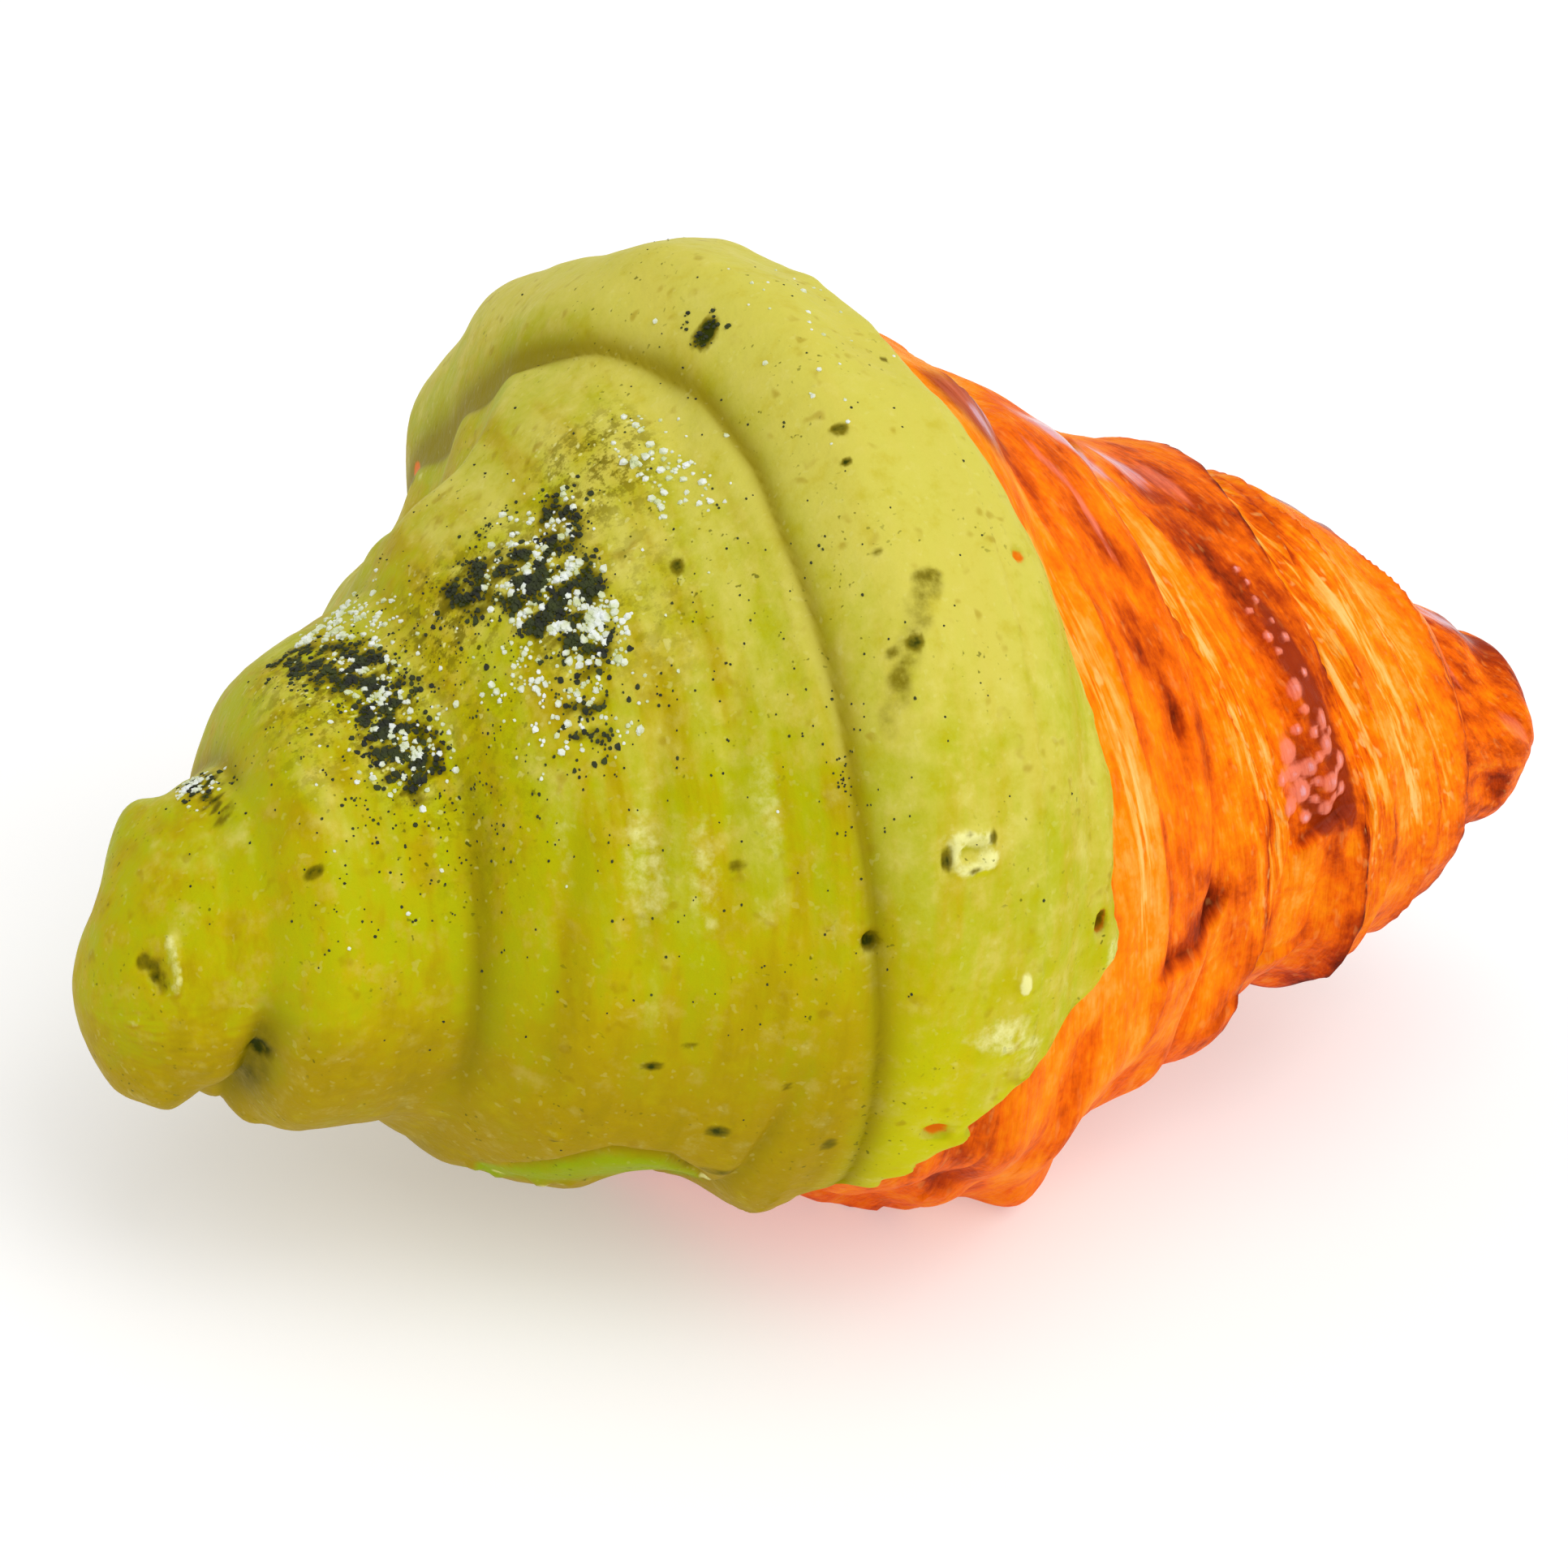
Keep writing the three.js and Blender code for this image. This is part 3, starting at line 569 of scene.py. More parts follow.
def tongue_radius(x, angle, swing, grow):
    """Radius of the broad last wrap, with its wandering left edge."""
    bend = np.interp(np.degrees(angle), *zip(*TONGUE_BEND), period=360)
    left = TONGUE_LEFT + TONGUE_LEFT_LEAN * swing + bend - grow
    right = TONGUE_RIGHT + TONGUE_RIGHT_LEAN * swing
    across = np.clip((x - left) / (right - left), 0, 1)
    lip = blend(TONGUE_LIP_BACK, TONGUE_LIP_FRONT, 0.5 + 0.5 * swing)
    lift = TONGUE_LIFT * np.cos(angle - TONGUE_LIFT_ANGLE)
    crown = blend(TONGUE_CROWN, TONGUE_FOOT, across**TONGUE_FALL) + lift + grow
    shoulder = blend(TONGUE_WALL_SHARE, 1, rounded_edge((x - left) / lip))
    wall = rounded_edge((x - left) / TONGUE_WALL)
    return crown * shoulder * wall * rounded_edge((right - x) / TONGUE_RIGHT_LIP)


def roll_radius(x, angle, grow, fill):
    """Radius of the outermost band, and the gap down to the next one, which closes in a crease."""
    swing = swing_at(angle)
    radii = [tongue_radius(x, angle, swing, grow)]
    for band in DIPPED_BANDS:
        radii.append(np.where(x < DIPPED_BANDS_END, band_radius(band, x, swing, -1, grow), 0))
    for band in BARE_BANDS:
        radii.append(np.where(x > BARE_BANDS_START, band_radius(band, x, swing, 1, grow), 0))
    ranked = np.sort(radii, axis=0)
    most = ranked[-1]
    gap = most - ranked[-2]
    uneven = spots(x, angle, most, ROLL_SPOTS) * np.clip(most / DIPPED_BANDS[0].outer, 0, 1)
    softened = fill * np.log1p(np.exp(-gap / fill))
    return most + uneven + softened * np.clip(most / TONGUE_FOOT, 0, 1), gap


def crease_look(x, angle):
    """How far the icing fills a crease, and how deep a line is left in it."""
    degrees = np.degrees(angle)
    filled = smooth(-x, -TIP_FILL_START, -TIP_FILL_FULL) * inside(degrees, TIP_FILL_ANGLES)
    soft = inside(x, TONGUE_FILL_PLACES) * inside(degrees, TONGUE_FILL_ANGLES)
    fill = blend(np.interp(x, CREASE_PLACES, CREASE_FILL), TONGUE_FILL, soft)
    line = blend(np.interp(x, CREASE_PLACES, CREASE_LINE), TONGUE_LINE, soft)
    return blend(fill, TIP_FILL, filled), line * (1 - filled)


def place_points(x, angle, radius, floor=0.0):
    """Points at places along and round the roll, on its bowed middle line and settled on the tray."""
    along = np.clip(x / BARE_TIP, -1, 1)
    drop = np.where(along < 0, TIP_DROP.dipped, TIP_DROP.bare) * along**2
    bow = np.where(along < 0, TIP_BOW.dipped, TIP_BOW.bare) * along**2
    low = np.clip(-np.sin(angle), 0, 1)
    corner = 2 * np.abs(np.cos(angle)) * low
    settled = smooth(x, SETTLED_FROM, SETTLED_MIDDLE)
    to_tip = smooth(x, SETTLED_MIDDLE, SETTLED_TIP)
    corner_spread = settled * blend(CORNER_AT_MIDDLE, CORNER_AT_TIP, to_tip)
    spread = radius * (1 + corner_spread * corner**2)
    sunk = 1 + settled * BELLY * low**2
    y = SIDE_SHIFT + bow - spread * np.cos(angle)
    z = MIDDLE_HEIGHT - drop + spread * HEIGHT_RATIO * np.sin(angle) * sunk
    return np.stack([x, y, np.maximum(z, floor)], axis=-1)


def lean_at(station):
    """The bands' lean at a station, which is a place along the roll before the lean moves it."""
    edges = [(band.edge, band.lean) for band in (*DIPPED_BANDS, *BARE_BANDS)]
    edges = sorted([*edges, (TONGUE_LEFT, TONGUE_LEFT_LEAN)])
    return np.interp(station, *zip(*edges))


def station_at(place, angle):
    """Nearly the station of a true place along the roll."""
    return place - lean_at(place) * swing_at(angle)


def rim_at(angle):
    """The station where the icing ends, with its waves and teeth."""
    degrees = np.degrees(angle)
    places = [np.interp(degrees + shift, *zip(*RIM_PLACES), period=360) for shift in RIM_SMOOTHING]
    start = np.zeros_like(angle)
    wave = lumps(start, angle, RIM_LONG_WAVES)
    wave = wave + SHORT_WAVE_SHARE * lumps(start + 1, angle, RIM_SHORT_WAVES)
    strength = blend(TEETH_ON_TOP, TEETH_BELOW, smooth(-degrees, -TEETH_START, -TEETH_FULL))
    teeth = strength * lumps(start, angle, RIM_TEETH)
    return station_at(np.mean(places, axis=0) + RIM_WAVE * (wave + teeth), angle)


def wrapped(x, angle, share=1.0):
    """A point for noise, near to those of places near by. share falls to 0 at a tip's pole."""
    reach = TONGUE_FOOT * share
    return np.stack([x, reach * np.cos(angle), reach * np.sin(angle)], axis=-1)


def lumps(x, angle, size):
    """Smooth noise from about -1 to 1. size is the lumps' width along the roll and round it."""
    points = wrapped(x, angle) / (size[0], size[1], size[1])
    return np.array([noise.noise(point) for point in points.tolist()])


def spot_reach(spot, across, angle, radius):
    """How far places lie from the middle of a spot, in units of its size."""
    turn = half_turn(angle - math.radians(spot.angle))
    return np.hypot(across / spot.along, turn * radius / spot.around)


def spots(x, angle, radius, spot_list):
    """The sum of soft round spots, each full at its middle and nothing at its edge."""
    total = np.zeros_like(x)
    for spot in spot_list:
        reach = spot_reach(spot, x - spot.at, angle, radius)
        total += spot.amount * smooth(1 - reach, 0, SPOT_SOFTNESS)
    return total


def domes(x, angle, radius, spot_list):
    """Round bubbles that stand apart: their height, and how near to its middle a place in a bubble is."""
    height, nearness = np.zeros_like(x), np.zeros_like(x)
    for spot in spot_list:
        reach = spot_reach(spot, x - spot.at, angle, radius)
        height = np.maximum(height, spot.amount * np.sqrt(np.clip(1 - reach * reach, 0, 1)))
        nearness = np.maximum(nearness, np.clip(1 - reach, 0, 1))
    return height, nearness


def layer_spots(x, angle, radius, spot_list):
    """Spots that are stretched along the slanted layers."""
    line = layer_line(x, angle)
    total = np.zeros_like(x)
    for spot in spot_list:
        across = line - layer_line(spot.at, math.radians(spot.angle))
        total += spot.amount * smooth(1 - spot_reach(spot, across, angle, radius), 0, SPOT_SOFTNESS)
    return total


def layer_line(x, angle):
    """Place of a point across the slanted layers of dough."""
    return x - LAYER_SLANT * np.cos(angle + LAYER_TURN)


def valleys(x, angle, valley_list):
    """Depth of folds that run round the roll and fade at their ends."""
    degrees = np.degrees(half_turn(angle))
    total = np.zeros_like(x)
    for valley in valley_list:
        turns, places = zip(*valley.places)
        fade = VALLEY_FADE * (turns[-1] - turns[0])
        shown = inside(degrees, Window(turns[0], turns[-1], fade, fade))
        across = (x - np.interp(degrees, turns, places)) / valley.width
        total += valley.depth * shown * np.exp(-across * across)
    return total


def skirt_groove(x, angle, radius):
    """Depth of the groove above the skirt, and how far below it a place lies, in millimetres."""
    places, turns = zip(*SKIRT_GROOVE.places)
    shown = inside(x, Window(places[0], places[-1], SKIRT_FADE, SKIRT_FADE))
    below = (np.radians(np.interp(x, places, turns)) - angle) * radius
    below = below + SKIRT_WANDER * lumps(x, angle, SKIRT_WAVES)
    depth = SKIRT_GROOVE.depth * shown * np.exp(-((below / SKIRT_GROOVE.width) ** 2))
    return depth, np.where(shown > 0, below, -np.inf)


def sheets(x, angle, sheet_list):
    """Overlapping sheets of dough: their height, and how brown their rims are, with painted shade on the
    crust just beyond each step.
    """
    degrees = np.degrees(angle)
    height, brown = np.zeros_like(x), np.zeros_like(x)
    for sheet in sheet_list:
        behind = np.interp(degrees, *zip(*sheet.places), period=360) - x
        behind = behind + SHEET_WANDER * lumps(x + sheet.reach, angle, SHEET_WAVES)
        slope = np.clip(1 - behind / sheet.reach, 0, 1) ** SHEET_CURVE
        step = smooth(behind, -SHEET_EDGE, 0)
        height += sheet.rise * slope * step
        brown += sheet.brown * step * np.exp(-np.maximum(behind, 0) / SHEET_RIM)
        # Painted shade just beyond the step, as deep as the step is high.
        brown += STEP_SHADE * sheet.rise * np.exp(-(((behind + SHEET_EDGE) / SHEET_EDGE) ** 2))
    return height, brown


def plates(x, angle, radius, plate_list):
    """Plates of dough that lie on the crust below their edges: their height, and the shade painted in the
    recess above each.
    """
    height, dark = np.zeros_like(x), np.zeros_like(x)
    for plate in plate_list:
        places, turns = zip(*plate.places)
        span = places[-1] - places[0]
        shown = inside(x, Window(places[0], places[-1], span * PLATE_RISE, span * PLATE_FALL))
        below = (np.radians(np.interp(x, places, turns)) - angle) * radius
        below = below + PLATE_WANDER * lumps(x, angle, PLATE_WAVES)
        step = smooth(below, -PLATE_EDGE / 2, PLATE_EDGE / 2)
        slope = np.clip(1 - below / plate.reach, 0, 1) * step
        recess = np.exp(np.minimum(below, 0) / plate.recess) * (1 - step)
        height += plate.rise * shown * (slope - RECESS_SHARE * recess)
        # Painted shade in the recess above the plate's edge.
        dark += plate.dark * shown * recess
    return height, dark


def ball_mesh(name, rows, columns):
    """A closed ball with its poles on X, and the row and angle of each of its vertices."""
    form = bmesh.new()
    bmesh.ops.create_grid(form, x_segments=rows, y_segments=columns, size=1.0)
    for vertex in form.verts:
        slope = (vertex.co.x + 1) * math.pi / 2
        turn = vertex.co.y * math.pi
        ring = math.sin(slope)
        vertex.co = (-math.cos(slope), -ring * math.cos(turn), ring * math.sin(turn))
    seam = [vertex for vertex in form.verts if vertex.is_boundary]
    bmesh.ops.remove_doubles(form, verts=seam, dist=SEAM_GAP)
    mesh = bpy.data.meshes.new(name)
    form.to_mesh(mesh)
    form.free()
    places = np.empty(len(mesh.vertices) * 3, np.float32)
    mesh.vertices.foreach_get("co", places)
    x, y, z = places.reshape(-1, 3).astype(float).T
    row = np.rint(np.arccos(np.clip(-x, -1, 1)) * rows / math.pi).astype(int)
    angle = np.arctan2(z, -y)
    return mesh, row, half_turn(angle - FRONT_CROWDING * np.sin(angle - FRONT_ANGLE))


def move_vertices(mesh, points):
    mesh.vertices.foreach_set("co", (points * MM).astype(np.float32).ravel())
    mesh.update()
    mesh.shade_smooth()


def store(mesh, **values):
    """Keeps numbers or vectors for each vertex, under their names, for the materials to read."""
    for name, numbers in values.items():
        kind, key = ("FLOAT", "value") if numbers.ndim == 1 else ("FLOAT_VECTOR", "vector")
        attribute = mesh.attributes.new(name, kind, "POINT")
        attribute.data.foreach_set(key, numbers.astype(np.float32).ravel())


def upward(mesh):
    """How far each vertex faces up, from -1 to 1."""
    normals = np.empty(len(mesh.vertices) * 3, np.float32)
    mesh.vertex_normals.foreach_get("vector", normals)
    return normals.reshape(-1, 3)[:, 2].astype(float)


def add_piece(mesh, material, replaced=None):
    piece = bpy.data.objects.new(mesh.name, mesh)
    bpy.context.scene.collection.objects.link(piece)
    mesh.materials.append(material)
    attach(piece, "root")
    if replaced:
        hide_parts(replaced)


def crust_flakes(x, angle, pitch):
    """Flakes of dough that rise towards the bare tip to a thin edge: height, and place in the flake."""
    wander = lumps(x, angle, FLAKE_BENDS) + FLAKE_WOBBLE * lumps(x, angle, FLAKE_WOBBLES)
    place = layer_line(x, angle) / pitch + wander
    flake = np.floor(place).astype(int)
    within = place - flake
    heights = np.random.default_rng(SEED).uniform(*FLAKE_HEIGHTS, FLAKE_KINDS)[flake % FLAKE_KINDS]
    standing = FLAKE_COVER + FLAKE_COVER_CHANGE * lumps(x + FLAKE_PATCH_SHIFT, angle, FLAKE_PATCHES)
    edge = smooth(1 - within, 0, FLAKE_EDGE)
    return heights * np.clip(standing, FLAKE_COVER_LEAST, 1) * within * edge, within


def streaked_share(x, angle):
    """Where the dough is stretched into streaks: in its strips, and in patches on the back."""
    back = smooth(-np.cos(angle), -0.1, 0.4)
    patches = smooth(lumps(layer_line(x, angle), angle, BACK_STREAK_SIZE), 0, 0.5)
    return np.clip(valleys(x, angle, CRUST_STREAKS) + back * patches, 0, 1)


def build_crust(settings):
    """The whole roll of dough, with fine rows where it is bare."""
    dipped = np.linspace(0, 1, CRUST_DIPPED_ROWS + 1) ** TIP_CROWDING
    bare = 1 - np.linspace(1, 0, CRUST_BARE_ROWS + 1) ** TIP_CROWDING
    stations = np.concatenate([
        blend(DIPPED_TIP, CRUST_FINE_FROM, dipped),
        blend(CRUST_FINE_FROM, BARE_TIP, bare)[1:],
    ])
    rows = len(stations) - 1
    mesh, row, angle = ball_mesh("crust", rows, CRUST_COLUMNS)
    station = stations[row]
    x = station + lean_at(station) * swing_at(angle)
    line = layer_line(x, angle)
    beyond_rim = station - rim_at(angle)
    radius, gap = roll_radius(x, angle, 0.0, np.interp(x, DOUGH_PLACES, DOUGH_FILL))
    tapered = np.clip(radius / BARE_BANDS[-1].outer, 0, 1)

    flakes, within = crust_flakes(x, angle, settings.flake_pitch / MM)
    sheet_height, rim_brown_and_step_shade = sheets(x, angle, CRUST_SHEETS)
    plate_height, plate_shade = plates(x, angle, radius, CRUST_PLATES)
    bubbled, bubble_middle = domes(x, angle, radius, CRUST_BUBBLES)
    pockets = valleys(x, angle, CRUST_POCKETS)
    strip = streaked_share(x, angle)
    fine = lumps(line, angle, FINE_SIZE)
    knobs = lumps(x, angle, KNOB_SIZE)
    swell = lumps(x, angle, SWELL_SIZE)
    relief = settings.flake_depth / MM * (flakes - FLAKE_MIDDLE) + sheet_height + plate_height + bubbled
    relief = relief + layer_spots(x, angle, radius, CRUST_SPOTS) - POCKET_DEPTH * pockets
    relief = relief + fine * blend(FINE_HEIGHT, FINE_HEIGHT_STREAKED, strip) - STREAK_DEPTH * strip
    relief = relief + KNOB_HEIGHT * knobs + SWELL_HEIGHT * swell - CRUST_LOWERING
    relief = relief * smooth(beyond_rim, RELIEF_START, RELIEF_FULL)
    relief = relief - CRUST_SINK * smooth(-beyond_rim, SINK_START, SINK_FULL)
    radius = np.maximum(radius + relief * tapered, 0)
    radius[(row == 0) | (row == rows)] = 0
    move_vertices(mesh, place_points(x, angle, radius))

    # Painted shade in the creases between the bands and at the flakes' feet; the underside is darker
    # towards the bottom.
    crease = np.exp(-gap / CREASE_REACH) * tapered
    folds = smooth(FLAKE_FOLD - within, 0, FLAKE_FOLD)
    underside = smooth(-np.sin(angle), 0.05, 0.7)
    broken = BREAK_MIDDLE + BREAK_CHANGE * lumps(x, angle, BREAK_SIZE)
    bake = BAKE_PLAIN + BAKE_SWELL * swell + BAKE_KNOB * knobs + BAKE_FLAKE * (flakes - BAKE_FLAKE_MIDDLE)
    bake = bake + layer_spots(x, angle, radius, CRUST_BROWN) + valleys(x, angle, CRUST_FACES)
    bake = bake + BAKE_TIP * smooth(x, BAKE_TIP_START, BAKE_TIP_FULL)
    bake = bake + CREASE_SHADE * crease + FLAKE_FOOT_SHADE * folds + UNDERSIDE_DARKENING * underside
    bake = bake + np.clip(broken, BREAK_LEAST, BREAK_MOST) * rim_brown_and_step_shade + plate_shade + POCKET_SHADE * pockets
    blush = layer_spots(x, angle, radius, CRUST_BLUSH) + BUBBLE_BLUSH * smooth(bubble_middle, 0, 0.55)
    # The shine also lays painted highlights into the colour.
    shine = layer_spots(x, angle, radius, CRUST_SHINE) + BUBBLE_SHINE * smooth(bubble_middle, 0.2, 0.8)
    store(
        mesh,
        bake=bake,
        strip=strip,
        shine=np.clip(shine, 0, MOST_SHINE),
        glaze=np.clip(layer_spots(x, angle, radius, CRUST_GLAZE), 0, 1),
        blush=np.clip(blush, 0, 1),
        layers=wrapped(line, angle, np.clip(radius / TIP_RADIUS, 0, 1)),
    )
    add_piece(mesh, crust_material(settings), "pastry")


def icing_face(station, angle, rim, thickness):
    """Places and radius of the icing's outer face, and the shade painted in its creases and lines, at
    stations along the bands.
    """
    x = station + lean_at(station) * swing_at(angle)
    rounding = rounded_edge((rim - station) / RIM_ROUNDING)
    fill, line = crease_look(x, angle)
    radius, gap = roll_radius(x, angle, thickness * blend(RIM_SHARE, 1, rounding), fill)
    waves = sum(height * lumps(x, angle, size) for height, size in ICING_WAVES)
    groove, _ = skirt_groove(x, angle, radius)
    lines = line * np.exp(-gap / CREASE_REACH) + valleys(x, angle, ICING_VALLEYS) + groove
    marks = spots(x, angle, radius, ICING_SPOTS) - lines
    tapered = np.clip(radius / DIPPED_BANDS[0].outer, 0, 1)
    # Painted shade in the creases, deeper on top, and in the lines of the valleys and the skirt's groove.
    overhang = blend(SHADE_FRONT, SHADE_TOP, inside(np.degrees(angle), SHADE_TOP_ANGLES))
    hollow = line / max(CREASE_LINE) * np.exp(-gap / SHADE_REACH) * overhang
    return x, radius + (waves + marks) * tapered, (hollow + SHADE_IN_LINES * lines) * tapered


def build_icing(settings):
    """A closed coat: its outer face from tip to rim, the rounded rim, and its inner face back again."""
    face_rows = ICING_STRAIGHT_ROWS + ICING_FAN_ROWS
    rows = face_rows + ICING_RIM_ROWS + ICING_INNER_ROWS
    mesh, row, angle = ball_mesh("icing_coat", rows, ICING_COLUMNS)
    rim = rim_at(angle)
    straight = np.clip(row / ICING_STRAIGHT_ROWS, 0, 1) ** TIP_CROWDING
    fanned = np.clip((row - ICING_STRAIGHT_ROWS) / ICING_FAN_ROWS, 0, 1)
    station = blend(ICED_TIP, STRAIGHT_ROWS_END, straight) + fanned * (rim - STRAIGHT_ROWS_END)
    inward = np.clip((row - face_rows - ICING_RIM_ROWS) / ICING_INNER_ROWS, 0, 1)
    station = station + inward * (DIPPED_TIP + INNER_SINK - station)
    x, radius, hollow = icing_face(station, angle, rim, settings.thickness / MM)
    bare_radius, _ = roll_radius(x, angle, 0.0, np.interp(x, DOUGH_PLACES, DOUGH_FILL))
    inner = np.maximum(bare_radius - INNER_SINK, 0)
    turn = np.clip((row - face_rows) / ICING_RIM_ROWS, 0, 1) * math.pi / 2
    radius = np.where(row > face_rows, blend(inner, radius, np.cos(turn)), radius)
    x = x + RIM_BULGE * np.sin(2 * turn)
    radius[(row == 0) | (row == rows)] = 0
    floor = np.where(row > face_rows, 0, settings.clearance / MM)
    move_vertices(mesh, place_points(x, angle, radius, floor))

    stains_and_shade = spots(x, angle, radius, ICING_STAINS_AND_SHADE) + POWDER_STAIN * powder_ground(x, angle, radius)
    _, below = skirt_groove(x, angle, radius)
    tongue_edge = TONGUE_LEFT + TONGUE_LEFT_LEAN * swing_at(angle)
    tongue = smooth(x - tongue_edge, TONGUE_TINT_START, TONGUE_TINT_FULL)
    facing_up = upward(mesh)
    # Painted light on faces that look up, and painted shade towards the dipped tip, laid in with the pale
    # film.
    film = np.interp(x, FILM_PLACES, FILM_SHARE) + FILM_ON_TONGUE * tongue
    film = film + FILM_FACING_UP * facing_up + FILM_ON_TOP * smooth(facing_up, 0.45, 0.75)
    store(
        mesh,
        stain=np.clip(stains_and_shade, 0, 1),
        pale=np.clip(spots(x, angle, radius, ICING_PALE), 0, 1),
        bare=np.clip(spots(x, angle, radius, ICING_BARE), 0, 1),
        dusty=np.clip(spots(x, angle, radius, ICING_DUSTY), 0, 1),
        hollow=np.clip(hollow, 0, 1),
        skirt=inside(below, SKIRT_COLOUR),
        film=film,
        tongue=tongue,
        upward=facing_up,
        flow=wrapped(x, angle, np.clip(radius / TIP_RADIUS, 0, 1)),
    )
    add_piece(mesh, icing_material(settings), "icing")


def powder_ground(x, angle, radius):
    """Where the icing is dark under the powder's clumps, from 0 to 1."""
    ground = []
    for patch in DARK_PATCHES:
        if patch.largest >= CLUMPED_SIZE:
            around = GROUND_REACH * patch.around * DEGREE_WIDTH
            ground.append(Spot(patch.at, patch.angle, GROUND_REACH * patch.along, around, 1.0))
    clumps = smooth(lumps(x, angle, CLUMP_SIZE), -0.5, 0.4)
    return np.clip(spots(x, angle, radius, ground), 0, 1) * clumps


def scattered(patches, clump_side, generator):
    """Places, angles and largest sizes of grains. More are drawn, and those in the clumps are kept."""
    found = []
    for patch in patches:
        draws = patch.count * DRAWS_PER_GRAIN
        x = generator.normal(patch.at, patch.along, draws)
        angle = np.radians(generator.normal(patch.angle, patch.around, draws))
        clump = clump_side * lumps(x, angle, CLUMP_SIZE) + generator.normal(0, CLUMP_SPILL, draws)
        kept = np.argsort(-clump)[: patch.count]
        found.append(np.stack([x[kept], angle[kept], np.full(patch.count, patch.largest)]))
    return np.concatenate(found, axis=1)


def build_grains(name, patches, clump_side, smallest, flatness, thickness, material):
    """Many small rough grains in one mesh, each a little sunk in the icing."""
    generator = np.random.default_rng(SEED + len(patches))
    place, angle, largest = scattered(patches, clump_side, generator)
    on_icing = station_at(place, angle) < rim_at(angle) - RIM_ROUNDING / 2
    place, angle, largest = place[on_icing], angle[on_icing], largest[on_icing]
    count = len(place)
    x, radius, _ = icing_face(station_at(place, angle), angle, rim_at(angle), thickness)
    size = blend(smallest, largest, generator.random(count) ** 2)
    middle = place_points(x, angle, radius - GRAIN_SINK * size)
    form = bmesh.new()
    bmesh.ops.create_icosphere(form, subdivisions=1, radius=1.0)
    form.verts.ensure_lookup_table()
    corners = np.array([vertex.co for vertex in form.verts])
    faces = np.array([[vertex.index for vertex in face.verts] for face in form.faces])
    form.free()
    uneven = generator.uniform(*GRAIN_CORNERS, (count, len(corners), 1))
    grains = corners[None] * uneven * size[:, None, None]
    spin = generator.uniform(0, 2 * math.pi, count)
    cosine, sine = np.cos(spin)[:, None], np.sin(spin)[:, None]
    long, wide, tall = grains[..., 0], grains[..., 1], grains[..., 2] * flatness
    along = long * cosine - wide * sine
    around = long * sine + wide * cosine
    outward_y, outward_z = -np.cos(angle)[:, None], np.sin(angle)[:, None]
    offsets = [along, around * outward_z + tall * outward_y, tall * outward_z - around * outward_y]
    points = middle[:, None] + np.stack(offsets, axis=-1)
    mesh = bpy.data.meshes.new(name)
    triangles = faces[None] + (np.arange(count) * len(corners))[:, None, None]
    mesh.from_pydata((points * MM).reshape(-1, 3).tolist(), [], triangles.reshape(-1, 3).tolist())
    mesh.update()
    add_piece(mesh, material)


def even(size):
    """One size in millimetres for all three axes."""
    return (size * MM,) * 3


class Wire:
    """One output of a node. Sums and products of wires and numbers add Math nodes."""

    def __init__(self, finish, socket):
        self.finish = finish
        self.socket = socket

    def math(self, operation, first, second=0.0):
        sockets = {"Value": first, "Value_001": second}
        return self.finish.node("ShaderNodeMath", {"operation": operation}, sockets)

    def __add__(self, other):
        return self.math("ADD", self, other)

    def __sub__(self, other):
        return self.math("SUBTRACT", self, other)

    def __rsub__(self, other):
        return self.math("SUBTRACT", other, self)

    def __mul__(self, other):
        return self.math("MULTIPLY", self, other)

    __radd__ = __add__
    __rmul__ = __mul__

    def between(self, low, high):
        """0 below low, 1 above high, and smooth between."""
        settings = {"interpolation_type": "SMOOTHSTEP"}
        sockets = {"Value": self, "From Min": low, "From Max": high}
        return self.finish.node("ShaderNodeMapRange", settings, sockets)


